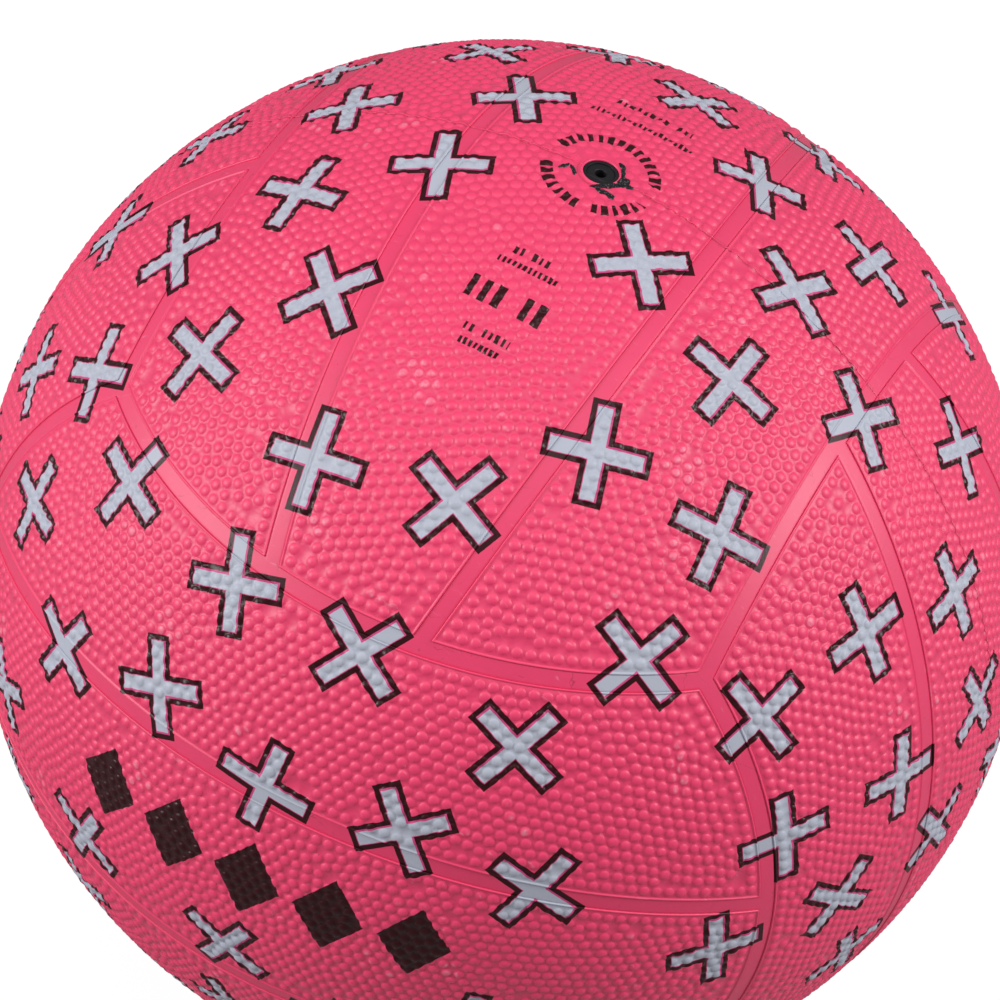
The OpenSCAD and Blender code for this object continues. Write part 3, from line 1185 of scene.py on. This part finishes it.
def parts_of(vector):
    """A vector's X, Y and Z."""
    node = add_node(vector.tree, "ShaderNodeSeparateXYZ", vector)
    return [Wire(node, axis) for axis in "XYZ"]


def attribute(tree, name, output):
    """A value that the mesh carries."""
    node = add_node(tree, "ShaderNodeAttribute", settings={"attribute_name": name})
    return Wire(node, output)


def millimetres(tree):
    """Object coordinates in millimetres."""
    return scaled(Wire(add_node(tree, "ShaderNodeTexCoord"), "Object"), 1 / MM)


def new_group(name, **inputs):
    """An empty shader node group, and the wires of its inputs in their order."""
    tree = bpy.data.node_groups.new(name, "ShaderNodeTree")
    for key, default in inputs.items():
        kind = "NodeSocketColor" if isinstance(default, tuple) else "NodeSocketFloat"
        label = key.replace("_", " ")
        socket = tree.interface.new_socket(name=label, in_out="INPUT", socket_type=kind)
        socket.default_value = default
    entry = tree.nodes.new("NodeGroupInput")
    return tree, [Wire(entry, number) for number in range(len(inputs))]


def close_group(tree, **outputs):
    """Give a node group its outputs."""
    for label in outputs:
        kind = "NodeSocketColor" if label == "Color" else "NodeSocketFloat"
        tree.interface.new_socket(name=label, in_out="OUTPUT", socket_type=kind)
    add_node(tree, "NodeGroupOutput", *outputs.values())
    return tree


def rubber_tone_group():
    """Moulded rubber's uneven colour and fine grain."""
    tree, (rubber, unevenness, grain_scale) = new_group(
        "Rubber tone", Rubber_Color=(0.8, 0.1, 0.2, 1), Unevenness=0.1, Grain_Scale=3.0
    )
    place = millimetres(tree)
    cloud = noise(place, 0.035, 3.0, 0.55)
    blotch = noise(place, 0.45, 2.0, 0.5)
    tone = (blotch * 0.4 + cloud * 0.6 - 0.5) * unevenness + 1.0
    grain = noise(place, grain_scale, 3.0, 0.6)
    return close_group(tree, Color=scaled(rubber, tone), Grain=grain, Cloud=cloud)


def voronoi(place, scale):
    """A wire to the distance from a scattered point, and three random shares of the point."""
    node = add_node(place.tree, "ShaderNodeTexVoronoi", Vector=place, Scale=scale)
    split = add_node(place.tree, "ShaderNodeSeparateColor", Wire(node, "Color"))
    return Wire(node, "Distance"), [Wire(split, number) for number in range(3)]


def handling_group():
    """Pale specks and faint scuffs from handling."""
    tree, (speck_size, speck_share) = new_group("Handling marks", Speck_Size=0.12, Speck_Share=0.04)
    place = millimetres(tree)
    distance, (red, _, _) = voronoi(place, 0.22)
    specks = (red < speck_share) * (distance < speck_size)
    stretch = add_node(
        tree, "ShaderNodeMapping", place, Rotation=(0.4, 0.7, 1.1), Scale=(0.15, 1.6, 0.4)
    )
    scuffs = map_range(noise(Wire(stretch), 0.9, 3.0, 0.7), 0.66, 0.74)
    return close_group(tree, Specks=specks, Scuffs=scuffs)


def hairline_group():
    """Fine dark lines and pinholes that age and moulding leave in rubber."""
    tree, (spacing, width, pinhole_share) = new_group(
        "Hairlines", Line_Spacing=9.0, Line_Width=0.07, Pinhole_Share=0.3
    )
    place = millimetres(tree)
    warp = add_node(tree, "ShaderNodeTexNoise", Vector=place, Scale=0.35, Detail=2.0)
    warped = add_node(
        tree,
        "ShaderNodeVectorMath",
        Wire(warp, "Color"),
        (3.0, 3.0, 3.0),
        place,
        settings={"operation": "MULTIPLY_ADD"},
    )
    density = 1.0 / spacing
    cells = add_node(
        tree,
        "ShaderNodeTexVoronoi",
        settings={"feature": "DISTANCE_TO_EDGE"},
        Vector=Wire(warped),
        Scale=density,
    )
    lines = map_range(Wire(cells, "Distance"), 0.0, density * width, 1.0, 0.0)
    broken = map_range(noise(place, 0.22, 3.0, 0.7), 0.54, 0.6)
    distance, (_, green, blue) = voronoi(place, 0.35)
    pinholes = (green < pinhole_share) * (distance < blue * 0.05)
    return close_group(tree, Lines=lines * broken, Pinholes=pinholes)


def from_axis(x, y):
    """Distance from the valve's axis."""
    return (x * x + y * y).math("SQRT")


def parting_shade_group():
    """Dark lines beside the mould's parting line, and a part ring round the valve."""
    tree, (width, spread, ring_radius) = new_group(
        "Parting line", Line_Width=0.16, Spread=0.36, Ring_Radius=4.65
    )
    place = millimetres(tree)
    x, y, z = parts_of(place)
    shake = shaken_edge(place, 0.5)
    sides = [
        map_range(abs(y + shake + spread * sign), 0.0, width, depth, 0.0)
        for sign, depth in ((1.0, 1.0), (-1.0, 0.45))
    ]
    broken = map_range(noise(place, 0.12, 3.0, 0.6), 0.38, 0.48)
    away = from_axis(x, y)
    line = highest(*sides) * broken * (away > PARTING_SHADE_START)
    fold_shade = map_range(abs(away - ring_radius + shake), 0.0, width, 0.9, 0.0)
    facing = (x * SHADED_ARC_SIDE[0] + y * SHADED_ARC_SIDE[1]) / away
    fold_shade = fold_shade * map_range(facing, *SHADED_ARC_END, 1.0, 0.0) * (z > 0.0)
    return close_group(tree, Line=highest(line, fold_shade))


def shaken_edge(place, amount):
    """A small uneven shift that keeps printed edges from being ruler straight."""
    return (noise(place, 0.7, 2.0, 0.6) - 0.5) * amount


def inside_mask(distance):
    """One inside a signed distance and nought outside, over a soft edge."""
    return map_range(distance, -EDGE_SOFTNESS, EDGE_SOFTNESS, 1.0, 0.0)


def plus_distance(across, along, half_length, half_arm):
    """Signed distance to a plus sign's edge."""
    across, along = abs(across), abs(along)
    return highest(highest(across, along) - half_length, across.math("MINIMUM", along) - half_arm)


def plus_group():
    """Outline, fill and inner fringe of the plus signs, from the axes that the mesh carries."""
    tree, (half_length, half_arm, line_width, gap, misfit, wobble) = new_group(
        "Outlined plus",
        Half_Length=10.5,
        Half_Arm=2.8,
        Line_Width=1.2,
        Gap=0.28,
        Misfit=0.12,
        Wobble=0.2,
    )
    across, along, present = parts_of(attribute(tree, "mark", "Vector"))
    present = present > 0.999
    shake = shaken_edge(millimetres(tree), wobble)
    edge = plus_distance(across, along, half_length, half_arm) + shake
    moved = plus_distance(across + misfit, along - misfit, half_length, half_arm) + shake
    hollow = inside_mask(edge + line_width)
    line = inside_mask(edge) * (1.0 - hollow) * present
    fill = inside_mask(moved + line_width + gap) * present
    return close_group(tree, Line=line, Fill=fill, Fringe=hollow * present)


def dash_group():
    """One line of uneven dashes."""
    tree, (along, across, half_length, half_height, pitch, seed) = new_group(
        "Dash line", Along=0.0, Across=0.0, Half_Length=5.0, Half_Height=0.8, Pitch=2.0, Seed=0.0
    )
    beat = (along + half_length) / pitch
    number = beat.math("FLOOR") + seed
    settings = {"noise_dimensions": "1D"}
    chance = Wire(add_node(tree, "ShaderNodeTexWhiteNoise", settings=settings, W=number), "Value")
    share = map_range(chance, 0.0, 1.0, 0.2, 0.38)
    off = (abs(beat.math("FRACT") - 0.5) - share) * pitch
    edge = highest(off, abs(across) - half_height, abs(along) - half_length)
    mask = inside_mask(edge + shaken_edge(millimetres(tree), 0.16))
    return close_group(tree, Mask=mask * (chance < 0.88))


def diamond_group():
    """A row of five solid diamonds."""
    tree, (along, across, pitch, half_width, half_height) = new_group(
        "Diamond row", Along=0.0, Across=0.0, Pitch=18.0, Half_Width=7.5, Half_Height=10.0
    )
    phase = (along / pitch + 0.5).math("FRACT") - 0.5
    slant = abs(phase * pitch) / half_width + abs(across) / half_height - 1.0
    edge = slant * half_width + shaken_edge(millimetres(tree), 0.25)
    return close_group(tree, Mask=inside_mask(edge) * (abs(along) < pitch * 2.5))


def small_print_group():
    """Lines of dashes by the valve and round it, and the row of diamonds on the front."""
    tree, (radius,) = new_group("Small print", Ball_Radius=111.4)
    x, y, z = parts_of(millimetres(tree))
    along = (x / radius).math("ARCSINE") * radius
    down = (y * -1.0).math("ARCTAN2", z) * radius
    masks = []
    for number, (height, half_length, half_height, pitch) in enumerate(PRINT_LINES):
        masks += use_group(
            tree,
            "Dash line",
            Along=along,
            Across=down - height,
            Half_Length=half_length,
            Half_Height=half_height,
            Pitch=pitch,
            Seed=20.0 * number,
        )
    [ring] = use_group(
        tree,
        "Dash line",
        Along=y.math("ARCTAN2", x) * RING_RADIUS,
        Across=from_axis(x, y) - RING_RADIUS,
        Half_Length=RING_RADIUS * math.pi * 0.97,
        Half_Height=1.25,
        Pitch=2.05,
        Seed=7.0,
    )
    masks.append(ring * (z > 0.0) * (abs(y) > RING_GAP))
    masks += use_group(
        tree,
        "Diamond row",
        Along=along,
        Across=down - BALL_RADIUS / MM * DIAMOND_ANGLE,
        Pitch=17.5,
        Half_Width=7.4,
        Half_Height=10.0,
    )
    return close_group(tree, Mask=highest(*masks))


GROUPS = {
    "Rubber tone": rubber_tone_group,
    "Handling marks": handling_group,
    "Hairlines": hairline_group,
    "Parting line": parting_shade_group,
    "Outlined plus": plus_group,
    "Dash line": dash_group,
    "Diamond row": diamond_group,
    "Small print": small_print_group,
}


def use_group(tree, name, **inputs):
    """Place a shared effect in a shader tree and return the wires of its outputs in order."""
    shared = bpy.data.node_groups.get(name) or GROUPS[name]()
    node = add_node(tree, "ShaderNodeGroup", settings={"node_tree": shared}, **inputs)
    return [Wire(node, number) for number in range(len(node.outputs))]


def new_material(name):
    material = bpy.data.materials.new(name)
    material.use_nodes = True
    tree = material.node_tree
    tree.nodes.clear()
    shader = tree.nodes.new("ShaderNodeBsdfPrincipled")
    add_node(tree, "ShaderNodeOutputMaterial", Surface=Wire(shader))
    return material, tree, shader


def dress(shader, colour, roughness, height, strength, depth):
    """Feed a shader's colour and roughness, and bump its surface by a height."""
    bump = add_node(
        shader.id_data, "ShaderNodeBump", Strength=strength, Distance=depth, Height=height
    )
    feed(colour, shader.inputs["Base Color"])
    feed(roughness, shader.inputs["Roughness"])
    feed(Wire(bump), shader.inputs["Normal"])


def printed_rubber(scene, name, uneven, speck_share, line_spacing, line_depth):
    """Pink rubber with the printed marks, used by the panels and by the net.

    The spacing and depth are those of its hairlines.
    """
    finish, prints = scene.netball_finish, scene.netball_prints
    material, tree, shader = new_material(name)
    place = millimetres(tree)
    relief = attribute(tree, "relief", "Fac")
    colour, grain, cloud = use_group(
        tree, "Rubber tone", Rubber_Color=(*finish.rubber, 1), Unevenness=uneven, Grain_Scale=3.5
    )
    specks, scuffs = use_group(tree, "Handling marks", Speck_Size=0.03, Speck_Share=speck_share)
    line, fill, fringe = use_group(
        tree,
        "Outlined plus",
        Half_Length=prints.length / 2 / MM,
        Half_Arm=prints.arm / 2 / MM,
        Line_Width=prints.line / MM,
        Gap=prints.gap / MM,
        Misfit=prints.misfit / MM,
        Wobble=0.15,
    )
    [small] = use_group(tree, "Small print", Ball_Radius=BALL_RADIUS / MM)
    line = highest(line, small)
    cracks, pinholes = use_group(tree, "Hairlines", Line_Spacing=line_spacing, Line_Width=0.07)
    [parting_shade] = use_group(tree, "Parting line", Line_Width=0.3, Spread=0.4, Ring_Radius=4.65)

    # Pebble tops rubbed pale, here and there in a patch
    rubbed = map_range(noise(place, 1.6, 3.0, 0.7), 0.4, 0.65)
    worn = map_range(noise(place, 0.12, 4.0, 0.65), 0.6, 0.72) * map_range(relief, 0.4, 0.85)
    patch = map_range(noise(place, 0.1, 2.0, 0.5), 0.675, 0.7) * map_range(relief, 0.3, 0.65)
    patch = patch * map_range(rubbed, 0.0, 1.0, 0.14, 0.4)
    pale = highest(highest(worn * rubbed, scuffs) * 0.24, patch)
    colour = mix_colour(pale, colour, RUBBED_PINK)
    # Painted shade: colour darkened by up to 8% where the surface lies low, on the ground between
    # pebbles and on the seam net, which carries no relief
    colour = scaled(colour, map_range(relief, 0.0, 0.3, 0.92, 1.0))
    # Cracks and pinholes are real marks; the parting line's dark lines and part ring in the same red
    # are painted shade
    for factor, tint in (
        (highest(cracks * line_depth, pinholes, parting_shade * 0.55), CRACK_AND_SHADE_RED),
        (fringe * 0.75, FRINGE_PINK),
        (line, (*finish.line_ink, 1)),
        (fill, (*finish.fill_ink, 1)),
        (specks * 0.7, PALE_DUST),
    ):
        colour = mix_colour(factor, colour, tint)

    roughness = map_range(cloud, 0.3, 0.7, 0.38, 0.46) - line * 0.1
    height = noise(place, 0.9, 3.0, 0.7) * 1.4 + grain - cracks * 0.8
    dress(shader, colour, roughness, height, 0.5, 0.05 * MM)
    # A weak wide sheen that the ink lacks
    feed(COAT_WEIGHT - highest(line, fringe) * COAT_WEIGHT, shader.inputs["Coat Weight"])
    shader.inputs["Coat Roughness"].default_value = 0.55
    shader.inputs["Coat IOR"].default_value = 1.5
    shader.inputs["Specular IOR Level"].default_value = 0.28
    return material


def dark_rubber(name, colour, roughness, grain_scale, grain_depth, spew_from=None):
    """Dark moulded rubber with dust and a fine grain, creased and shiny past a radius."""
    material, tree, shader = new_material(name)
    shader.inputs["Specular IOR Level"].default_value = 0.3
    colour, grain, _ = use_group(
        tree, "Rubber tone", Rubber_Color=(*colour, 1), Unevenness=0.6, Grain_Scale=grain_scale
    )
    specks, scuffs = use_group(tree, "Handling marks", Speck_Size=0.05, Speck_Share=0.25)
    colour = mix_colour(scuffs * 0.25, colour, GREY_SCUFF)
    colour = mix_colour(specks, colour, GREY_DUST)
    rough = map_range(grain, 0.2, 0.8, roughness - 0.06, roughness + 0.08)
    height = grain
    if spew_from is not None:
        place = millimetres(tree)
        x, y, z = parts_of(place)
        spew = (from_axis(x, y) > spew_from / MM) * (z > BALL_RADIUS / MM - 1.2)
        crease = noise(place, 2.4, 3.0, 0.7)
        # Painted highlight: pale grey flecks on the creases of the spew stand in for glints
        painted_glint = map_range(crease, 0.56, 0.64) * spew
        colour = mix_colour(painted_glint * 0.5, colour, GLINT_FLECK_GREY)
        rough = rough - spew * 0.2
        height = crease * spew * 9.0 + grain
    dress(shader, colour, rough, height, 0.3, grain_depth)
    return material


def thread_material():
    """Crossed turns of nylon thread, held with cement."""
    material, tree, shader = new_material("Nylon winding")
    place = millimetres(tree)
    turns = []
    for tilt in ((0.3, 0.5, 0.2), (1.3, -0.4, 0.9), (-0.7, 1.1, 2.0)):
        lie = add_node(tree, "ShaderNodeMapping", place, Rotation=tilt)
        wave = add_node(
            tree,
            "ShaderNodeTexWave",
            settings={"wave_type": "BANDS"},
            Vector=Wire(lie),
            Scale=0.5,
            Distortion=1.5,
            Detail=1.0,
            Detail_Scale=0.1,
        )
        turns.append(Wire(wave, "Fac"))
    height = highest(*turns)
    # The thread's colour follows the bump: darker in the hollows between turns, paler on their crowns
    colour = mix_colour(height, DARK_THREAD, PALE_THREAD)
    dress(shader, colour, map_range(height, 0.0, 1.0, 0.75, 0.5), height, 0.8, 0.2 * MM)
    return material


def give_material(node, material):
    piece = frame["nodes"][node]
    piece.data.materials.clear()
    piece.data.materials.append(material)


def build_inside():
    give_material("winding_layer", thread_material())
    grain = {"roughness": 0.6, "grain_scale": 1.2, "grain_depth": 0.05 * MM}
    give_material("bladder", dark_rubber("Bladder rubber", BLADDER_BLACK, **grain))


def round_corners(corners, reach):
    """A half outline with each of its corners rounded off, except the two ends."""
    corners = np.asarray(corners, float)
    points = [corners[0]]
    for before, corner, after in zip(corners[:-2], corners[1:-1], corners[2:]):
        back, ahead = before - corner, after - corner
        cut = min(reach, 0.45 * np.linalg.norm(back), 0.45 * np.linalg.norm(ahead))
        start, stop = corner + unit(back) * cut, corner + unit(ahead) * cut
        for share in (0.0, 0.25, 0.5, 0.75, 1.0):
            along = (1 - share) ** 2 * start + share**2 * stop
            points.append(along + 2 * share * (1 - share) * corner)
    points.append(corners[-1])
    return np.array(points)


def revolve(outline):
    """Points and four-sided faces of a half outline of radii and heights, turned about Z."""
    turn = full_turn(VALVE_CORNERS)
    across, height = outline[:, :1], np.repeat(outline[:, 1:], VALVE_CORNERS, 1)
    points = np.stack([across * np.cos(turn), across * np.sin(turn), height], -1)
    index = np.arange(height.size).reshape(height.shape)
    return points.reshape(-1, 3), ring_quads(index[:-1], index[1:])


def spherical_arc(level, outer, inner, count):
    """Radii and heights along a sphere about the ball's centre, between two radii."""
    across = np.linspace(outer, inner, count)
    return [(radius, math.sqrt(level**2 - radius**2)) for radius in across]


def housing_outline(valve, rim):
    """The housing's closed half outline, from its inner edge at the rim outwards."""
    bore = valve.plug_diameter / 2 + valve.clearance
    seat = valve.head_diameter / 2 + valve.clearance
    shoulder = plug_face() - valve.head_thickness - valve.clearance
    outer_level = rim - valve.neck_length
    inner_level = outer_level - valve.flange_thickness
    neck, stem = valve.neck_diameter / 2, valve.stem_diameter / 2
    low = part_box("valve_housing")[0][2]
    root = stem + valve.stem_root
    corners = [(seat, rim - 0.5 * MM), (seat, rim), (neck, rim)]
    corners += spherical_arc(outer_level, neck, valve.flange_diameter / 2, 9)
    corners += spherical_arc(inner_level, valve.flange_diameter / 2, root, 9)
    corners += [(stem, inner_level - valve.stem_root), (stem, low), (bore, low)]
    corners += [(bore, shoulder), (seat, shoulder), (seat, rim - 0.5 * MM)]
    return round_corners(corners, valve.edge_round)


def plug_face():
    """Height of the face of the plug's head."""
    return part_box("valve_plug")[1][2]


def slit_loop(valve, height):
    """Corners of the slit's outline at a height."""
    half_length, half_width = valve.slit_length / 2, valve.slit_width / 2
    along = np.linspace(-half_length, half_length, 9)
    flat = [(x, -half_width) for x in along] + [(x, half_width) for x in along[::-1]]
    return np.array([(x, y, height) for x, y in flat])


def build_plug_mesh(valve):
    """Points and faces of the plug: a turned body, and the slit membrane that closes it."""
    face, foot = plug_face(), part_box("valve_plug")[0][2]
    body, head = valve.plug_diameter / 2, valve.head_diameter / 2
    passage = valve.needle_diameter / 2
    floor = foot + valve.membrane_thickness
    mouth = valve.mouth_chamfer
    corners = [(passage, floor), (passage, face - mouth), (passage + mouth, face)]
    corners += [(head, face), (head, face - valve.head_thickness)]
    corners += [(body, face - valve.head_thickness), (body, foot + valve.plug_lead)]
    corners += [(body - valve.plug_lead / 2, foot)]
    count = VALVE_CORNERS
    points, faces = revolve(round_corners(corners, valve.edge_round))
    rings = (np.arange(count), np.arange(len(points) - count, len(points)))
    groups = [faces]
    slits = []
    for ring, height, upward in zip(rings, (floor, foot), (True, False)):
        slit = slit_loop(valve, height)
        slits.append(np.arange(len(points), len(points) + len(slit)))
        points = np.concatenate([points, slit])
        chosen = np.concatenate([ring, slits[-1]])
        triangles = triangulate(points[chosen][:, :2], (count, len(slit)))
        triangles = triangles[~(triangles >= count).all(1)]
        groups.append(chosen[triangles if upward else triangles[:, ::-1]])
    groups.append(ring_quads(*slits))
    return points, groups


def spew_flake(rng, level, flake):
    """Points and faces of one thin flake of rubber that lies on the ground by the valve."""
    x, y, half_length, half_width, height, degrees = flake
    count = FLAKE_CORNERS
    turn = full_turn(count)
    ragged = 1 + sum(
        rng.uniform(*FLAKE_DEPTHS) * np.cos(waves * turn + rng.uniform(0, 6.28))
        for waves in FLAKE_WAVES
    )
    lean = math.radians(degrees)
    points = []
    for share in (*FLAKE_RINGS, 0.0):
        along = half_length * np.cos(turn) * ragged * share
        across = half_width * np.sin(turn) * ragged * share
        place_x = x + along * math.cos(lean) - across * math.sin(lean)
        place_y = y + along * math.sin(lean) + across * math.cos(lean)
        place = np.stack([place_x, place_y], -1)
        bumps = 1 + FLAKE_BUMPS * np.cos(3 * turn + x) * share
        rise = (height + FLAKE_SINK) * math.sqrt(1 - share**2) * bumps - FLAKE_SINK
        rise = np.minimum(rise, VALVE_RISE)
        if share == 0.0:
            place, rise = place[:1], rise[:1]
        flat = np.concatenate([place, np.full((len(place), 1), level / MM)], 1)
        points.append(unit(flat) * (level + rise[:, None] * MM))
    rings = np.arange(count * len(FLAKE_RINGS)).reshape(-1, count)
    sides = ring_quads(rings[:-1], rings[1:])
    cap = ring_caps(rings[-1], rings.size)
    under = ring_caps(rings[0], rings.size + 1)[:, [1, 0, 2]]
    centre = unit(np.array([[x, y, level / MM]])) * (level - FLAKE_SINK * MM)
    return np.concatenate([*points, centre]), [sides, cap, under]


def build_valve(scene):
    """The housing, with the flakes that the mould left round it, and the plug."""
    finish, valve = scene.netball_finish, scene.netball_valve
    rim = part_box("valve_housing")[1][2]
    points, faces = revolve(housing_outline(valve, rim)[:-1])
    rings = np.arange(len(points)).reshape(-1, VALVE_CORNERS)
    groups = [faces, ring_quads(rings[-1], rings[0])]
    check_box(points, "valve_housing")
    rng = np.random.default_rng(valve.seed)
    for flake in SPEW_FLAKES:
        extra, extra_groups = spew_flake(rng, ground_radius(scene.netball_cover), flake)
        groups += [group + len(points) for group in extra_groups]
        points = np.concatenate([points, extra])
    housing = make_mesh("valve_housing_moulded", points, groups, None)
    grain = {"roughness": 0.46, "grain_scale": 4.0, "grain_depth": 0.03 * MM}
    material = dark_rubber("Housing rubber", finish.valve, **grain, spew_from=3.65 * MM)
    housing.data.materials.append(material)
    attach(housing, "ball")
    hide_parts("valve_housing")

    points, groups = build_plug_mesh(valve)
    check_box(points, "valve_plug")
    plug = make_mesh("valve_plug_moulded", points, groups, None)
    grain = {"roughness": 0.52, "grain_scale": 5.0, "grain_depth": 0.03 * MM}
    plug.data.materials.append(dark_rubber("Plug rubber", finish.valve, **grain))
    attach(plug, "plug")
    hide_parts("valve_plug")
    for piece in (housing, plug):
        piece.data.set_sharp_from_angle(angle=math.radians(40))


def build_world(scene, ambient):
    """A world that looks white and gives an even light from all round."""
    world = bpy.data.worlds.new("Studio")
    scene.world = world
    world.use_nodes = True
    tree = world.node_tree
    tree.nodes.clear()
    lit = Wire(add_node(tree, "ShaderNodeBackground", Color=WHITE, Strength=ambient))
    seen = Wire(add_node(tree, "ShaderNodeBackground", Color=WHITE))
    add_node(tree, "ShaderNodeOutputWorld", Surface=seen_by_camera(lit, seen))


def build_stage(scene):
    """World, floor, lamps and camera."""
    stage = scene.netball_stage
    build_world(scene, stage.ambient)
    scene.view_settings.view_transform = "Standard"

    low = cad_box[0].z
    mesh = bpy.data.meshes.new("floor")
    half = FLOOR_HALF
    corners = [(-half, -half, low), (half, -half, low), (half, half, low), (-half, half, low)]
    mesh.from_pydata(corners, [], [(0, 1, 2, 3)])
    floor = bpy.data.objects.new("floor", mesh)
    scene.collection.objects.link(floor)
    floor.data.materials.append(floor_material())

    right, up, back = (Vector(axis) for axis in CAMERA_AXES)
    data = bpy.data.cameras.new("camera")
    data.lens = stage.lens
    data.sensor_width = SENSOR_WIDTH
    data.shift_x, data.shift_y = CAMERA_SHIFT
    data.clip_start = 0.01
    camera = bpy.data.objects.new("camera", data)
    scene.collection.objects.link(camera)
    turn = Matrix((right, up, back)).transposed().to_4x4()
    camera.matrix_world = Matrix.Translation(back * stage.distance) @ turn
    scene.camera = camera

    for name, (aside, above, behind), size, power in LAMPS:
        direction = back * behind + up * above + right * aside
        add_lamp(scene, name, direction, size, getattr(stage, power))


def add_lamp(scene, name, direction, size, power):
    data = bpy.data.lights.new(name, "AREA")
    data.shape = "SQUARE"
    data.size = size
    data.energy = power
    lamp = bpy.data.objects.new(name, data)
    scene.collection.objects.link(lamp)
    lamp.location = direction.normalized() * LAMP_DISTANCE
    lamp.rotation_mode = "QUATERNION"
    lamp.rotation_quaternion = direction.to_track_quat("Z", "Y")
    lamp.visible_camera = False


def mix_shaders(factor, first, second):
    return Wire(add_node(first.tree, "ShaderNodeMixShader", factor, first, second))


def seen_by_camera(hidden, seen):
    """One shader for what the camera sees directly, and another for all other light."""
    path = add_node(seen.tree, "ShaderNodeLightPath")
    return mix_shaders(Wire(path, "Is Camera Ray"), hidden, seen)


def floor_material():
    """A floor that looks white, keeps the ball's shadow, and is clear seen from below."""
    material, tree, shader = new_material("Pale floor")
    shader.inputs["Base Color"].default_value = FLOOR_WHITE
    shader.inputs["Roughness"].default_value = 0.9
    glow = Wire(add_node(tree, "ShaderNodeEmission", Color=WHITE, Strength=FLOOR_GLOW))
    dull = Wire(add_node(tree, "ShaderNodeBsdfDiffuse", Color=FLOOR_GREY))
    seen = seen_by_camera(dull, mix_shaders(GLOW_SHARE, Wire(shader), glow))
    backside = Wire(add_node(tree, "ShaderNodeNewGeometry"), "Backfacing")
    clear = Wire(add_node(tree, "ShaderNodeBsdfTransparent"))
    output = next(node for node in tree.nodes if node.type == "OUTPUT_MATERIAL")
    feed(mix_shaders(backside, seen, clear), output.inputs["Surface"])
    return material


class NETBALL_OT_build_cover(bpy.types.Operator):
    """Build the eighteen pebbled panels"""

    bl_idname = "netball.build_cover"
    bl_label = "Build cover panels"

    def execute(self, context):
        build_cover(context.scene)
        return {"FINISHED"}


class NETBALL_OT_build_net(bpy.types.Operator):
    """Build the rubber net whose ribs show between the panels"""

    bl_idname = "netball.build_net"
    bl_label = "Build seam net"

    def execute(self, context):
        build_net(context.scene)
        return {"FINISHED"}


class NETBALL_OT_build_valve(bpy.types.Operator):
    """Finish the valve's housing and plug"""

    bl_idname = "netball.build_valve"
    bl_label = "Build valve"

    def execute(self, context):
        build_valve(context.scene)
        return {"FINISHED"}


class NETBALL_OT_build_inside(bpy.types.Operator):
    """Finish the winding and the bladder"""

    bl_idname = "netball.build_inside"
    bl_label = "Finish inner layers"

    def execute(self, context):
        build_inside()
        return {"FINISHED"}


class NETBALL_OT_build_stage(bpy.types.Operator):
    """Set up the floor, lamps and camera"""

    bl_idname = "netball.build_stage"
    bl_label = "Build stage"

    def execute(self, context):
        build_stage(context.scene)
        return {"FINISHED"}


OPERATORS = (
    NETBALL_OT_build_cover,
    NETBALL_OT_build_net,
    NETBALL_OT_build_valve,
    NETBALL_OT_build_inside,
    NETBALL_OT_build_stage,
)
SETTINGS = {
    "netball_cover": NetballCoverSizes,
    "netball_valve": NetballValveSizes,
    "netball_prints": NetballPrintSizes,
    "netball_finish": NetballFinish,
    "netball_stage": NetballStageSizes,
}


class NETBALL_PT_sidebar(bpy.types.Panel):
    """Sizes, colours and build steps of the netball"""

    bl_label = "Netball"
    bl_idname = "NETBALL_PT_sidebar"
    bl_space_type = "VIEW_3D"
    bl_region_type = "UI"
    bl_category = "Netball"

    def draw(self, context):
        for name, settings in SETTINGS.items():
            group = getattr(context.scene, name)
            column = self.layout.column(heading=settings.__doc__)
            for prop in settings.__annotations__:
                column.prop(group, prop)
        for operator in OPERATORS:
            self.layout.operator(operator.bl_idname)


CLASSES = (*SETTINGS.values(), *OPERATORS, NETBALL_PT_sidebar)


def register():
    for cls in CLASSES:
        bpy.utils.register_class(cls)
    for name, settings in SETTINGS.items():
        setattr(bpy.types.Scene, name, PointerProperty(type=settings))


def unregister():
    for name in SETTINGS:
        delattr(bpy.types.Scene, name)
    for cls in reversed(CLASSES):
        bpy.utils.unregister_class(cls)


def main():
    register()
    for operator in OPERATORS:
        name = operator.bl_idname.split(".")[1]
        getattr(bpy.ops.netball, name)()


if __name__ == "__main__":
    main()
